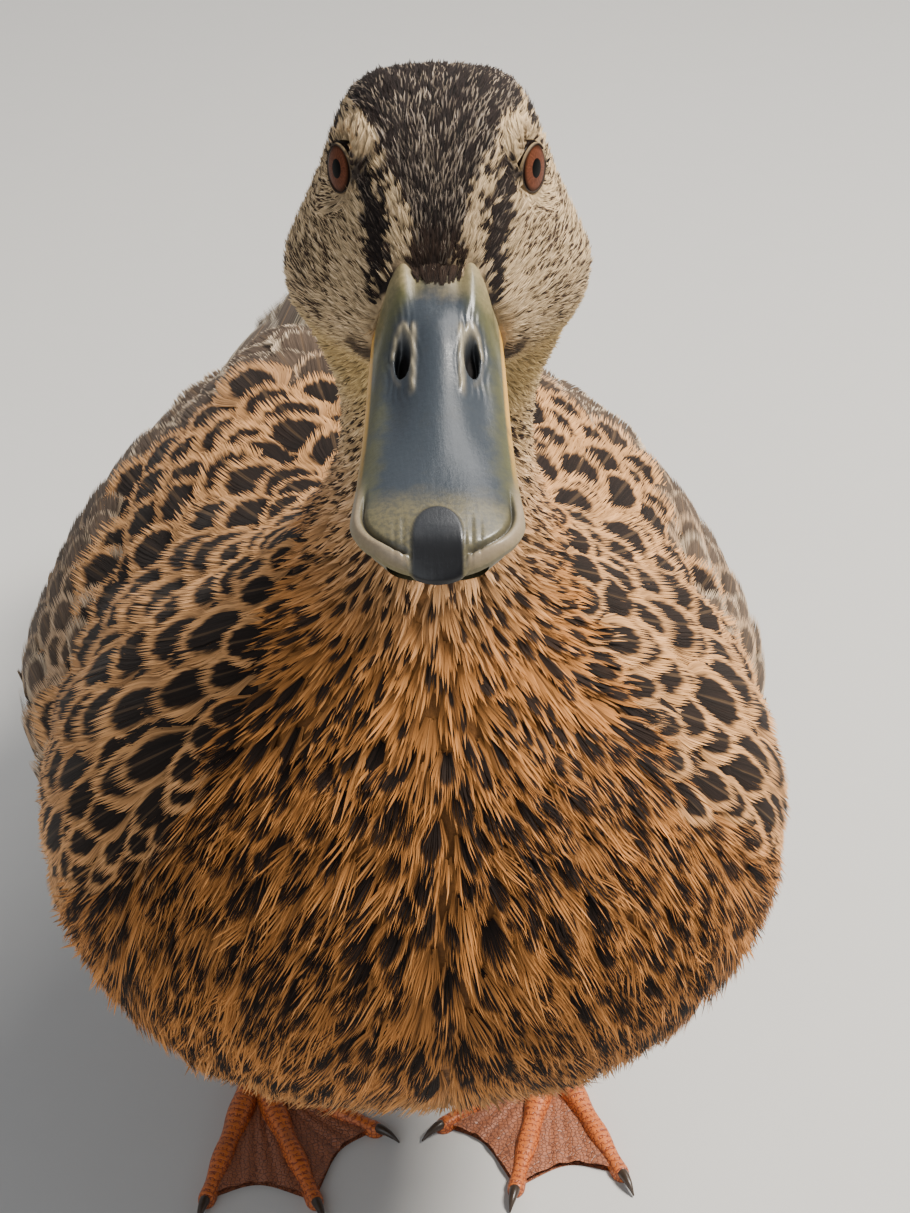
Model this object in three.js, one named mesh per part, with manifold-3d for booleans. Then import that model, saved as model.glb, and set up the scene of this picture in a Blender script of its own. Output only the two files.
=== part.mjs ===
// A hen mallard standing at rest, life size. Millimetres, +Z up. She faces -Y and her left side is +X.
// The origin is on the ground, under the middle of the box round her.
import * as THREE from "three";
import { mergeVertices } from "three/addons/utils/BufferGeometryUtils.js";
import Module from "manifold-3d";

const wasm = await Module();
wasm.setup();

// ---- Driving dimensions ----

const GAP = 0.3; // left between neighbouring pieces
const SLIVER = 0.14; // detail smaller than this is smoothed away where pieces are cut
const HEAD_TURN = THREE.MathUtils.degToRad(-4.4); // she looks a little to her right
const HEAD_ASIDE = 2.5; // and holds her head this far to her left
const TURN_AXIS_Y = -112; // the upright line that the neck turns about
const TURN_FROM_Z = 190; // the neck starts to turn here ...
const TURN_TO_Z = 262; // ... and is fully turned here

// Top and bottom outline, [y, z], from the tail's root to the bill, and the girth between them: half the width,
// how high up the widest line lies (0 at the bottom outline, 1 at the top), how square the upper half is (1 is a
// straight-sided wedge, 2 an ellipse, more is boxy), and how much the sides pinch in above the widest line.
const STATIONS = [
  { at: "vent", top: [150, 137], under: [147, 115], half: 20, widest: 0.5, square: 2.0, pinch: 0 },
  { at: "rump", top: [122, 151], under: [108, 91], half: 41, widest: 0.55, square: 1.85, pinch: 0 },
  { at: "loin", top: [88, 168], under: [52, 66], half: 64, widest: 0.5, square: 1.8, pinch: 0 },
  { at: "back", top: [48, 184], under: [-15, 56], half: 77.5, widest: 0.47, square: 1.75, pinch: 0 },
  { at: "mantle", top: [8, 195], under: [-80, 64], half: 82, widest: 0.46, square: 1.7, pinch: 0 },
  { at: "shoulders", top: [-28, 203], under: [-128, 98], half: 79.5, widest: 0.45, square: 1.7, pinch: 0 },
  { at: "breast", top: [-53, 211], under: [-155, 132], half: 69, widest: 0.43, square: 1.7, pinch: 0 },
  { at: "crop", top: [-72, 222], under: [-161, 164], half: 49.5, widest: 0.43, square: 1.8, pinch: 0 },
  { at: "neck root", top: [-84, 238], under: [-151, 194], half: 29, widest: 0.46, square: 2.0, pinch: 0 },
  { at: "neck", top: [-90, 259], under: [-138, 222], half: 18.5, widest: 0.5, square: 2.0, pinch: 0 },
  { at: "throat", top: [-91, 282], under: [-131, 248], half: 18.5, widest: 0.5, square: 2.0, pinch: 0 },
  { at: "nape", top: [-94.5, 300], under: [-132, 265], half: 23, widest: 0.43, square: 2.2, pinch: 0.03 },
  { at: "hind crown", top: [-103.5, 313], under: [-136.5, 273.5], half: 25.4, widest: 0.41, square: 2.9, pinch: 0.2 },
  { at: "crown", top: [-119, 320.2], under: [-143, 277], half: 25.2, widest: 0.38, square: 4.2, pinch: 0.33 },
  { at: "eye", top: [-134.5, 319.6], under: [-149, 280], half: 20.8, widest: 0.37, square: 4.4, pinch: 0.31 },
  { at: "forehead", top: [-148.5, 311.2], under: [-155, 282], half: 13.4, widest: 0.4, square: 2.7, pinch: 0.14 },
  { at: "bill root", top: [-157.5, 299], under: [-160, 285], half: 7.8, widest: 0.45, square: 2.2, pinch: 0 },
];
const LOWER_SQUARE = 2.15; // the lower half is a full, slightly square curve all along

// Where the whole body is parted: [y, z] of two points on each cut, which runs straight across her.
const CUTS = {
  head: [[-92, 292], [-134, 256]],
  neck: [[-72, 222], [-166, 166]],
  breast: [[-42, 208], [-118, 85]],
  rump: [[108, 165], [92, 80]],
};

const WING = {
  rear: { y: 126, x: 33, z: 135 },
  front: { y: -80, x: 62.5, z: 138 },
  bulge: 25, // how far the line between those two ends bows outwards
  halfHeight: 32,
  halfThick: 11,
  lean: THREE.MathUtils.degToRad(32), // the top edge leans in over the back
};
const SCAPULARS = {
  rear: { y: 104, x: 21, z: 160 },
  front: { y: -72, x: 38, z: 184 },
  bulge: 10.5,
  halfHeight: 29,
  halfThick: 9,
  lean: THREE.MathUtils.degToRad(55),
};
const PRIMARIES = {
  rear: { y: 178, x: 9, z: 150 },
  front: { y: 80, x: 32, z: 148 },
  bulge: 3,
  halfHeight: 11,
  halfThick: 3.2,
  lean: THREE.MathUtils.degToRad(42),
};

const TAIL = {
  rootY: 112,
  tipY: 206,
  z: 138, // height of its root's middle
  rise: -5, // how much higher its tip is
  rootHalf: 19,
  tipHalf: 24,
  thick: 7,
  tipThick: 3,
  roundEnd: 22, // how much shorter its sides are than its middle
  droop: 6, // how far its sides hang below its middle
  feathers: 7,
};

const BILL = {
  base: [-153, 293.5], // [y, z] of the middle of its root, just inside the head
  dip: THREE.MathUtils.degToRad(4), // its axis points this far below level
  length: 55.6,
  // Along its length, 0 at the root and 1 at the tip: half width, height of the ridge over the cutting edge
  shape: [
    { t: 0, half: 9.7, ridge: 15 },
    { t: 0.18, half: 10, ridge: 12 },
    { t: 0.4, half: 10.4, ridge: 8.3 },
    { t: 0.62, half: 11, ridge: 6.1 },
    { t: 0.84, half: 11.7, ridge: 4.8 },
    { t: 1, half: 11.5, ridge: 4 },
  ],
  roundTip: 0.2, // the share of its length that the rounded end takes
  lowerShare: 0.86, // the lower bill's width against the upper's
  lowerDepth: 4.6,
  lip: 0.9, // the upper bill's thickness under its cutting edge
  edge: -5.6, // height of the cutting edge at the root, from the root's middle
};

const EYE = { y: -134, z: 308.8, x: 9.6, radius: 7 }; // the ball's middle; x is out from the middle plane

const LEG = {
  hip: [36, 6, 82],
  heel: [37, 15, 51],
  ankle: [39, -13, 8],
  thighTop: 21,
  thighEnd: 5.2,
  shank: 3.1,
  joint: 4.1,
};
const TOES = {
  inner: { angle: -36, length: 40 },
  middle: { angle: 0, length: 50 },
  outer: { angle: 34, length: 47 },
  hind: { angle: 172, length: 15 },
};
const FOOT = { toeIn: 17, knuckle: 3.6, tip: 1.9, height: 3.3, web: 1.3, webReach: 0.9, webSag: 0.82, claw: 7 };

// ---- Forms ----

// A closed form whose surface point at (t, angle) is place(t, angle): t runs from the rear end to the front
// end, and angle turns round the form, 0 on her left and a quarter turn on top. Both ends are flat caps.
function formOf(along, around, place) {
  const geometry = new THREE.SphereGeometry(1, around, along);
  const position = geometry.attributes.position;
  const uv = geometry.attributes.uv;
  const point = new THREE.Vector3();
  for (let i = 0; i < position.count; i++) {
    const ring = Math.round((1 - uv.getY(i)) * along);
    const pole = ring === 0 || ring === along;
    const t = THREE.MathUtils.clamp((ring - 1) / (along - 2), 0, 1);
    const angle = Math.PI - 2 * Math.PI * (uv.getX(i) % 1); // the seam's two columns are one
    place(t, angle, point);
    if (pole) capCentre(t, place, point);
    position.setXYZ(i, point.x, point.y, point.z);
  }
  return geometry;
}

// The middle of an end cap, from four points round its rim.
function capCentre(t, place, target) {
  const sum = new THREE.Vector3();
  const rim = new THREE.Vector3();
  for (let quarter = 0; quarter < 4; quarter++) {
    place(t, (quarter * Math.PI) / 2, rim);
    sum.add(rim);
  }
  target.copy(sum.multiplyScalar(0.25));
}

// One geometry as a solid. A form whose faces point inwards is turned round.
function solid(geometry) {
  const bare = geometry.clone();
  bare.deleteAttribute("normal");
  bare.deleteAttribute("uv");
  const merged = mergeVertices(bare, 1e-4);
  const triangles = merged.index.array;
  const kept = [];
  for (let i = 0; i < triangles.length; i += 3) {
    const [a, b, c] = triangles.slice(i, i + 3);
    if (a !== b && b !== c && c !== a) kept.push(a, b, c);
  }
  const make = (order) =>
    new wasm.Manifold(
      new wasm.Mesh({ numProp: 3, vertProperties: merged.attributes.position.array, triVerts: new Uint32Array(order) }),
    );
  const made = make(kept);
  if (made.volume() > 0) return made;
  for (let i = 0; i < kept.length; i += 3) [kept[i + 1], kept[i + 2]] = [kept[i + 2], kept[i + 1]];
  return make(kept);
}

// A number's power that keeps its sign, for superellipses.
const signedPower = (value, power) => Math.sign(value) * Math.abs(value) ** power;

// Turns a point of the neck or head as the neck turns: not at all at its root, fully from the head down.
function turnNeck(point) {
  const share = THREE.MathUtils.smoothstep(point.z, TURN_FROM_Z, TURN_TO_Z);
  const angle = HEAD_TURN * share;
  const y = point.y - TURN_AXIS_Y;
  const x = point.x;
  point.x = x * Math.cos(angle) - y * Math.sin(angle) + HEAD_ASIDE * share;
  point.y = x * Math.sin(angle) + y * Math.cos(angle) + TURN_AXIS_Y;
  return point;
}

// ---- The body, from the tail's root to the bill, as one form ----

const outline = (key) =>
  new THREE.CatmullRomCurve3(STATIONS.map((s) => new THREE.Vector3(0, ...s[key])), false, "catmullrom", 0.5);
const topLine = outline("top");
const underLine = outline("under");
const girthLine = new THREE.CatmullRomCurve3(
  STATIONS.map((s) => new THREE.Vector3(s.half, s.widest, s.square)),
  false,
  "catmullrom",
  0.5,
);
const pinchLine = new THREE.CatmullRomCurve3(
  STATIONS.map((s) => new THREE.Vector3(s.pinch, 0, 0)),
  false,
  "catmullrom",
  0.5,
);

function bodyPoint(t, angle, target) {
  const top = topLine.getPoint(t);
  const under = underLine.getPoint(t);
  const { x: half, y: widest, z: square } = girthLine.getPoint(t);
  const up = top.clone().sub(under);
  const depth = up.length();
  up.normalize();
  const above = Math.sin(angle) >= 0;
  const power = 2 / (above ? square : LOWER_SQUARE);
  const reach = (above ? 1 - widest : widest) * depth;
  const height = signedPower(Math.sin(angle), power);
  const pinched = 1 - pinchLine.getPoint(t).x * THREE.MathUtils.smoothstep(height, 0, 0.5);
  target.copy(under).addScaledVector(up, widest * depth + height * reach);
  target.x = half * pinched * signedPower(Math.cos(angle), power);
  return turnNeck(target);
}

const BODY_RINGS = 39;
const BODY_AROUND = 20;
const wholeBody = solid(formOf(BODY_RINGS, BODY_AROUND, (t, angle, p) => bodyPoint(t, angle, p)));

// The part of a solid that lies before (towards the bill) or behind a cut.
function trimmed(form, [[topY, topZ], [underY, underZ]], before) {
  const run = new THREE.Vector3(0, topY - underY, topZ - underZ).normalize();
  const ahead = new THREE.Vector3(0, -run.z, run.y); // square to the cut, towards the bill
  const offset = ahead.y * topY + ahead.z * topZ;
  return before
    ? form.trimByPlane([0, ahead.y, ahead.z], offset + GAP / 2)
    : form.trimByPlane([0, -ahead.y, -ahead.z], -offset + GAP / 2);
}

// ---- Wings ----

// A long, flattened form against her side. side is 1 on her left and -1 on her right.
function bladePoint(blade, side, t, angle, target, grow) {
  const { rear, front, bulge, halfHeight, halfThick, lean } = blade;
  const bow = Math.sin(Math.PI * t);
  const swell = Math.sqrt(Math.max(0, 1 - (2 * t - 1) ** 2 * 0.985)) ** 0.9;
  const high = halfHeight * swell * (0.82 + 0.3 * t - 0.12 * t * t) + grow;
  const thick = halfThick * swell + grow;
  const across = thick * signedPower(Math.cos(angle), 0.95);
  const upward = high * signedPower(Math.sin(angle), 0.95);
  const x = THREE.MathUtils.lerp(rear.x, front.x, t) + bulge * bow;
  target.set(
    side * (x + across * Math.cos(lean) - upward * Math.sin(lean)),
    THREE.MathUtils.lerp(rear.y, front.y, t) + grow * (1 - 2 * t),
    THREE.MathUtils.lerp(rear.z, front.z, t) + across * Math.sin(lean) + upward * Math.cos(lean),
  );
}

const bladeOf = (blade, side, grow = 0) =>
  solid(formOf(12, 11, (t, angle, p) => bladePoint(blade, side, t, angle, p, grow)));

// ---- Tail ----

// A thin fan of flat feathers, drooping at its sides, with a scalloped end.
function tailOf(grow = 0) {
  const { rootY, tipY, z, rise, rootHalf, tipHalf, thick, tipThick, droop, feathers } = TAIL;
  return solid(
    formOf(7, 4 * feathers, (t, angle, p) => {
      const along = 1 - t; // 0 at the root, 1 at the tip
      const across = signedPower(Math.cos(angle), 0.6);
      const scallop = 3 * Math.abs(Math.sin(((across + 1) * feathers * Math.PI) / 2));
      const shorter = TAIL.roundEnd * across * across;
      const half = THREE.MathUtils.lerp(rootHalf, tipHalf, Math.sin((along * Math.PI) / 2)) + grow;
      const height = THREE.MathUtils.lerp(thick, tipThick, along) / 2 + grow;
      const reach = (tipY - rootY - along * (shorter - scallop + 3)) * along;
      p.set(
        half * across,
        rootY + reach + grow * (2 * along - 1),
        z + rise * along - droop * across * across * along + height * signedPower(Math.sin(angle), 0.8),
      );
    }),
  );
}

// ---- Bill ----

const billCurve = new THREE.CatmullRomCurve3(
  BILL.shape.map((s) => new THREE.Vector3(s.t, s.half, s.ridge)),
  false,
  "catmullrom",
  0.5,
);

// Half width and ridge height at a share of the bill's length, with the tip rounded off.
function billSize(along) {
  const nearest = BILL.shape.findIndex((s) => s.t >= along - 1e-9);
  const [a, b] = [BILL.shape[Math.max(nearest - 1, 0)], BILL.shape[Math.max(nearest, 1)]];
  const share = (along - a.t) / (b.t - a.t);
  const at = billCurve.getPoint((BILL.shape.indexOf(a) + share) / (BILL.shape.length - 1));
  const past = Math.max(0, (along - 1 + BILL.roundTip) / BILL.roundTip);
  return { half: at.y * Math.sqrt(Math.max(0.001, 1 - past ** 2.4)), ridge: at.z };
}

// From the bill's own axes (ahead, across, up from its root) to her frame.
function placeBill(ahead, across, up, target) {
  const [rootY, rootZ] = BILL.base;
  target.set(
    across,
    rootY - ahead * Math.cos(BILL.dip) - up * Math.sin(BILL.dip),
    rootZ - ahead * Math.sin(BILL.dip) + up * Math.cos(BILL.dip),
  );
  return turnNeck(target);
}

// The height of the cutting edge at a share of the bill's length: it dips in the middle.
const edgeHeight = (along) => BILL.edge - 1.6 * Math.sin(Math.PI * along);

function upperBill(grow = 0) {
  return solid(
    formOf(17, 16, (t, angle, p) => {
      const along = 1 - (1 - t) ** 1.6; // the rings crowd towards the rounded tip
      const { half, ridge } = billSize(along);
      const above = Math.sin(angle) >= 0;
      const squareTop = THREE.MathUtils.lerp(1.7, 2.6, along);
      const across = (half + grow) * signedPower(Math.cos(angle), above ? 2 / squareTop : 0.35);
      const lift = above
        ? (ridge + grow) * Math.sin(angle) ** (2 / squareTop)
        : (BILL.lip + grow) * Math.sin(angle);
      placeBill(along * BILL.length + grow * (2 * t - 1), across, edgeHeight(along) + lift, p);
    }),
  );
}

function lowerBill(grow = 0) {
  const reach = 0.955;
  return solid(
    formOf(11, 10, (t, angle, p) => {
      const along = t * reach;
      const half = billSize(along).half * BILL.lowerShare + grow;
      const below = Math.sin(angle) < 0;
      const across = half * signedPower(Math.cos(angle), 0.6);
      const deep = BILL.lowerDepth * (1 - 0.45 * t) + grow;
      const lift = (below ? deep : grow) * Math.sin(angle);
      placeBill(along * BILL.length + grow * (2 * t - 1), across, edgeHeight(along) - BILL.lip - GAP + lift, p);
    }),
  );
}

// ---- Eyes ----

function eyeBall(side, radius) {
  const middle = turnNeck(new THREE.Vector3(side * EYE.x, EYE.y, EYE.z));
  return solid(new THREE.SphereGeometry(radius, 12, 8).translate(middle.x, middle.y, middle.z));
}

// ---- Legs and feet ----

// A round, tapering limb from one point to another, with its own radius at each end.
function limb(from, to, fromRadius, toRadius, around, grow) {
  const start = new THREE.Vector3(...from);
  const end = new THREE.Vector3(...to);
  const axis = end.clone().sub(start);
  const shape = [new THREE.Vector2(0, -grow)];
  const steps = 6;
  for (let i = 0; i <= steps; i++) {
    const t = i / steps;
    const radius = THREE.MathUtils.lerp(fromRadius, toRadius, THREE.MathUtils.smootherstep(t, 0, 1));
    shape.push(new THREE.Vector2(radius + grow, t * (axis.length() + 2 * grow) - grow));
  }
  shape.push(new THREE.Vector2(0, axis.length() + grow));
  const turned = new THREE.LatheGeometry(shape, around);
  const aim = new THREE.Quaternion().setFromUnitVectors(new THREE.Vector3(0, 1, 0), axis.clone().normalize());
  return solid(turned.applyQuaternion(aim).translate(start.x, start.y, start.z));
}

const mirrored = ([x, y, z], side) => [side * x, y, z];

// A level direction in the foot's own frame: 0 is straight ahead of the foot, positive is outwards.
function toeDirection(side, degrees) {
  const angle = THREE.MathUtils.degToRad(degrees - FOOT.toeIn);
  return new THREE.Vector3(side * Math.sin(angle), -Math.cos(angle), 0);
}

const toeRoot = (side) => new THREE.Vector3(side * LEG.ankle[0], LEG.ankle[1] - 2, 0);

// One toe: a low, tapering bar with a flat sole, swollen at its two knuckles.
function toe(side, { angle, length }) {
  const direction = toeDirection(side, angle);
  const across = new THREE.Vector3(-direction.y, direction.x, 0);
  const root = toeRoot(side);
  return solid(
    formOf(7, 8, (t, turn, p) => {
      const knuckles = 0.5 * Math.cos(t * 3 * Math.PI) ** 2;
      const wide = THREE.MathUtils.lerp(FOOT.knuckle, FOOT.tip, t) + knuckles;
      const high = THREE.MathUtils.lerp(FOOT.height + 1.4, FOOT.height - 1.1, t) + knuckles;
      const upward = Math.sin(turn) > 0 ? high * Math.sin(turn) ** 0.8 : 0;
      p.copy(root)
        .addScaledVector(direction, t * length)
        .addScaledVector(across, wide * signedPower(Math.cos(turn), 0.8));
      p.z = 0.6 + upward - (Math.sin(turn) < 0 ? 0.6 : 0);
    }),
  );
}

// The web between two toes, a thin plate with a hollowed front edge.
function web(side, first, second) {
  const root = toeRoot(side);
  const reachOf = ({ angle, length }, share) => root.clone().addScaledVector(toeDirection(side, angle), length * share);
  const [a, b] = [reachOf(first, FOOT.webReach), reachOf(second, FOOT.webReach)];
  const between = { angle: (first.angle + second.angle) / 2, length: (first.length + second.length) / 2 };
  const hollow = reachOf(between, FOOT.webSag);
  const plate = new THREE.Shape();
  plate.moveTo(root.x, root.y);
  plate.lineTo(a.x, a.y);
  plate.quadraticCurveTo(hollow.x, hollow.y, b.x, b.y);
  plate.closePath();
  return solid(new THREE.ExtrudeGeometry(plate, { depth: FOOT.web, bevelEnabled: false, curveSegments: 5 }));
}

// Where a toe's claw starts: a little short of the toe's end, at half its height.
function clawOf(side, { angle, length }, grow = 0) {
  const direction = toeDirection(side, angle);
  const root = toeRoot(side).addScaledVector(direction, length - 1);
  const curve = new THREE.QuadraticBezierCurve3(
    new THREE.Vector3(root.x, root.y, 2.1),
    new THREE.Vector3(root.x + direction.x * 4, root.y + direction.y * 4, 2.6),
    new THREE.Vector3(root.x + direction.x * FOOT.claw, root.y + direction.y * FOOT.claw, 0.8),
  );
  const across = new THREE.Vector3(-direction.y, direction.x, 0);
  return solid(
    formOf(4, 6, (t, turn, p) => {
      const radius = THREE.MathUtils.lerp(1.55, 0.4, t) + grow;
      p.copy(curve.getPoint(t)).addScaledVector(across, radius * Math.cos(turn));
      p.z += radius * Math.sin(turn);
      p.addScaledVector(direction, (2 * t - 1) * grow);
    }),
  );
}

// ---- Cutting the pieces to each other ----

const SIDES = { left: 1, right: -1 };
const pieces = new Map();

const minus = (form, ...cutters) => cutters.reduce((left, cutter) => left.subtract(cutter), form);

// The largest body of a solid, when a cut has left crumbs, without its needle-thin triangles.
const largest = (form) =>
  form
    .simplify(SLIVER)
    .decompose()
    .sort((a, b) => b.volume() - a.volume())[0];

let body = minus(wholeBody, tailOf(GAP), upperBill(GAP), lowerBill(GAP));
for (const [name, side] of Object.entries(SIDES)) {
  const thighOf = (grow) =>
    limb(mirrored(LEG.hip, side), mirrored(LEG.heel, side), LEG.thighTop, LEG.thighEnd, 12, grow);
  const shankOf = (grow) =>
    limb(mirrored(LEG.heel, side), mirrored(LEG.ankle, side), LEG.joint, LEG.shank, 10, grow);
  const scapulars = bladeOf(SCAPULARS, side);
  const scapularRoom = bladeOf(SCAPULARS, side, GAP);
  const wing = minus(bladeOf(WING, side), scapularRoom);
  const wingRoom = bladeOf(WING, side, GAP);
  const primaries = minus(bladeOf(PRIMARIES, side), scapularRoom, wingRoom, tailOf(GAP));
  const primaryRoom = bladeOf(PRIMARIES, side, GAP);
  body = minus(body, scapularRoom, wingRoom, primaryRoom, thighOf(GAP));

  const eyeRoom = eyeBall(side, EYE.radius + GAP);
  body = minus(body, eyeRoom);

  let foot = Object.values(TOES).map((t) => toe(side, t)).reduce((all, one) => all.add(one));
  foot = foot.add(web(side, TOES.inner, TOES.middle)).add(web(side, TOES.middle, TOES.outer));
  for (const [toeName, t] of Object.entries(TOES)) {
    foot = minus(foot, clawOf(side, t, GAP));
    pieces.set(`claw_${name}_${toeName}`, clawOf(side, t).trimByPlane([0, 0, 1], 0));
  }
  foot = minus(foot, shankOf(GAP));
  pieces.set(`foot_${name}`, largest(foot.trimByPlane([0, 0, 1], 0)));
  pieces.set(`leg_${name}`, largest(shankOf(0)));
  pieces.set(`thigh_${name}`, largest(minus(thighOf(0), shankOf(GAP))));
  pieces.set(`eye_${name}`, eyeBall(side, EYE.radius));
  pieces.set(`scapulars_${name}`, scapulars);
  pieces.set(`wing_${name}`, largest(wing));
  pieces.set(`primaries_${name}`, largest(primaries));
}

pieces.set("head", largest(trimmed(body, CUTS.head, true)));
pieces.set("neck", largest(trimmed(trimmed(body, CUTS.head, false), CUTS.neck, true)));
pieces.set("breast", largest(trimmed(trimmed(body, CUTS.neck, false), CUTS.breast, true)));
pieces.set("trunk", largest(trimmed(trimmed(body, CUTS.breast, false), CUTS.rump, true)));
pieces.set("rump", largest(trimmed(body, CUTS.rump, false)));
pieces.set("tail", tailOf());
pieces.set("bill_upper", upperBill());
pieces.set("bill_lower", lowerBill());

// ---- Colours ----

const finish = (color, roughness) => new THREE.MeshStandardMaterial({ color, roughness, metalness: 0 });
const MATERIALS = {
  plumage: finish(0xa5703c, 0.85),
  mottled: finish(0x6b4a30, 0.85),
  flight: finish(0x7d7468, 0.6),
  bill: finish(0x5c6468, 0.3),
  skin: finish(0xc8622a, 0.55),
  claw: finish(0x2f2722, 0.4),
  eye: finish(0x6a3018, 0.05),
};
const MATERIAL_OF = {
  head: "plumage", neck: "plumage", breast: "plumage", trunk: "mottled", rump: "mottled", tail: "flight",
  scapulars: "mottled", wing: "mottled", primaries: "flight", thigh: "plumage",
  bill: "bill", leg: "skin", foot: "skin", claw: "claw", eye: "eye",
};

// ---- The model ----

function meshOf(name, form) {
  const { numProp, vertProperties, triVerts, numVert } = form.getMesh();
  const position = new Float32Array(numVert * 3);
  for (let i = 0; i < numVert; i++) position.set(vertProperties.subarray(i * numProp, i * numProp + 3), i * 3);
  const geometry = new THREE.BufferGeometry();
  geometry.setAttribute("position", new THREE.BufferAttribute(position, 3));
  geometry.setIndex(new THREE.BufferAttribute(triVerts, 1));
  geometry.computeVertexNormals();
  const mesh = new THREE.Mesh(geometry, MATERIALS[MATERIAL_OF[name.split("_")[0]]]);
  mesh.name = name;
  return mesh;
}

const duck = new THREE.Group();
for (const [name, form] of pieces) duck.add(meshOf(name, form));

const model = new THREE.Group();
model.add(duck);
const box = new THREE.Box3().setFromObject(duck);
duck.position.set(-(box.min.x + box.max.x) / 2, -(box.min.y + box.max.y) / 2, -box.min.z);

export default model;
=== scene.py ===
import heapq
import math

import bpy
import numpy as np
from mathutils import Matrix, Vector, kdtree
from mathutils.bvhtree import BVHTree


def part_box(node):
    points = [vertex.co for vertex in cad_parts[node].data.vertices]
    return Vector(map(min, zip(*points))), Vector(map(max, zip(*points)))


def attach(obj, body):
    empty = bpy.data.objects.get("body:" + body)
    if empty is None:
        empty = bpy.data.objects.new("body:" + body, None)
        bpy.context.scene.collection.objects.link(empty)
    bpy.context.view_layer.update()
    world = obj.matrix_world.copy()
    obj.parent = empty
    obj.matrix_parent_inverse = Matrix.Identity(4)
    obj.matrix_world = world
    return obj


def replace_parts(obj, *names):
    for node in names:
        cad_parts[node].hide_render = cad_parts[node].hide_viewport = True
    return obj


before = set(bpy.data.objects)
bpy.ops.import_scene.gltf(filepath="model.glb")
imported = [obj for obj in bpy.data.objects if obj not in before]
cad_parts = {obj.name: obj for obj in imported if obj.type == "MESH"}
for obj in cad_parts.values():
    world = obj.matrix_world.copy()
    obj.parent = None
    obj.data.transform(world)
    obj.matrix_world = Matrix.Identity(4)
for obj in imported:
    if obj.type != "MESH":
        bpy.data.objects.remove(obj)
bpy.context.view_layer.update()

bl_info = {
    "name": "Hen mallard",
    "version": (1, 0, 0),
    "blender": (4, 5, 0),
    "location": "3D View > Sidebar > Duck",
    "description": "Builds the skin, feathers, bill, eyes and feet of a standing hen mallard",
    "category": "Object",
}

MM = 0.001
UP = Vector((0, 0, 1))
HEAD_DIP = math.radians(4)
FLESH = [
    "head", "neck", "breast", "trunk", "rump", "thigh_left", "thigh_right",
    "scapulars_left", "scapulars_right", "wing_left", "wing_right",
]
SIDES = {"left": 1, "right": -1}
COAT_DEPTH = 4.2  # how deep the skin lies under the body's coat, in millimetres
FOOT_TURN = 17  # how far each foot turns in, in degrees
SCUTE = 1.9  # the length of one scute of a toe, in millimetres
TAIL_INSET = 1.5  # how far, in millimetres, the middle tail feathers end before the tail's box
LOWER_BILL = 0.955  # the lower bill's length, as a share of the upper bill's


# ---- Settings ----------------------------------------------------------------------------------------------


def length(name, description, default):
    return bpy.props.FloatProperty(
        name=name, description=description, default=default, min=0.0, precision=5, unit="LENGTH",
        subtype="DISTANCE",
    )


def colour(name, description, default):
    return bpy.props.FloatVectorProperty(
        name=name, description=description, default=default, size=3, min=0.0, max=1.0, subtype="COLOR"
    )


class DuckCoat(bpy.types.PropertyGroup):
    voxel: length("Skin grain", "Size of the skin's mesh cells", 0.0018)
    face: length("Face spacing", "Distance between the tufts of the face", 0.00054)
    crown: length("Crown spacing", "Distance between the tufts of the crown and cheeks", 0.00078)
    neck: length("Neck spacing", "Distance between the feathers at the neck's root", 0.0026)
    breast: length("Breast spacing", "Distance between the breast's feathers", 0.0042)
    belly: length("Belly spacing", "Distance between the belly's feathers", 0.0052)
    flank: length("Flank spacing", "Distance between the flanks' feathers", 0.0080)
    mantle: length("Mantle spacing", "Distance between the back's feathers", 0.0100)
    covert: length("Covert spacing", "Distance between the wing's covert feathers", 0.0080)
    seed: bpy.props.IntProperty(name="Seed", description="Changes the scatter of the feathers", default=7)


class DuckColours(bpy.types.PropertyGroup):
    crown: colour("Crown", "Blackish brown of the crown, nape and eye stripe", (0.019, 0.012, 0.010))
    fleck: colour("Crown fleck", "Pale buff of the crown's fine streaks", (0.42, 0.33, 0.24))
    face: colour("Face", "Pale buff of the face and brow", (0.70, 0.50, 0.28))
    throat: colour("Throat", "Plain buff of the chin and throat", (0.50, 0.34, 0.14))
    cheek_streak: colour("Cheek streak", "Brown of the fine streaks on the cheeks", (0.055, 0.030, 0.018))
    rust: colour("Breast", "Golden rust of the breast", (0.50, 0.20, 0.050))
    blotch: colour("Blotch", "Blackish brown of the blotches", (0.016, 0.008, 0.005))
    # painted shade in part: this olive buff is kept dark to stand for the shade under the body
    belly: colour("Belly", "Pale olive buff of the belly", (0.25, 0.155, 0.062))
    fringe: colour("Fringe", "Orange buff of the back feathers' edges", (0.60, 0.30, 0.115))
    mantle: colour("Mantle", "Dark brown of the back feathers' centres", (0.017, 0.010, 0.007))
    covert: colour("Coverts", "Grey-brown of the wing's coverts", (0.105, 0.072, 0.050))
    pale: colour("Pale edge", "Whitish buff of the flight and tail feathers' edges", (0.55, 0.45, 0.32))
    flight: colour("Flight feathers", "Dusky grey-brown of the flight feathers", (0.12, 0.09, 0.068))
    speculum: colour("Speculum", "Violet blue of the wing's bright patch", (0.035, 0.06, 0.32))
    bill: colour("Bill", "Slate grey of the bill's ridge", (0.034, 0.042, 0.052))
    bill_side: colour("Bill sides", "Olive of the bill's sides and root", (0.10, 0.096, 0.036))
    bill_lip: colour("Bill lip", "Pale horn of the lip round the tip", (0.29, 0.22, 0.145))
    nail: colour("Nail", "Blackish horn of the nail", (0.006, 0.006, 0.007))
    iris: colour("Iris", "Brown of the iris", (0.095, 0.032, 0.017))
    foot: colour("Foot", "Orange red of the legs and toes", (0.62, 0.16, 0.035))
    web: colour("Web", "Brownish pink of the webs", (0.36, 0.13, 0.065))
    claw: colour("Claw", "Dark horn of the claws", (0.022, 0.016, 0.012))


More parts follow.
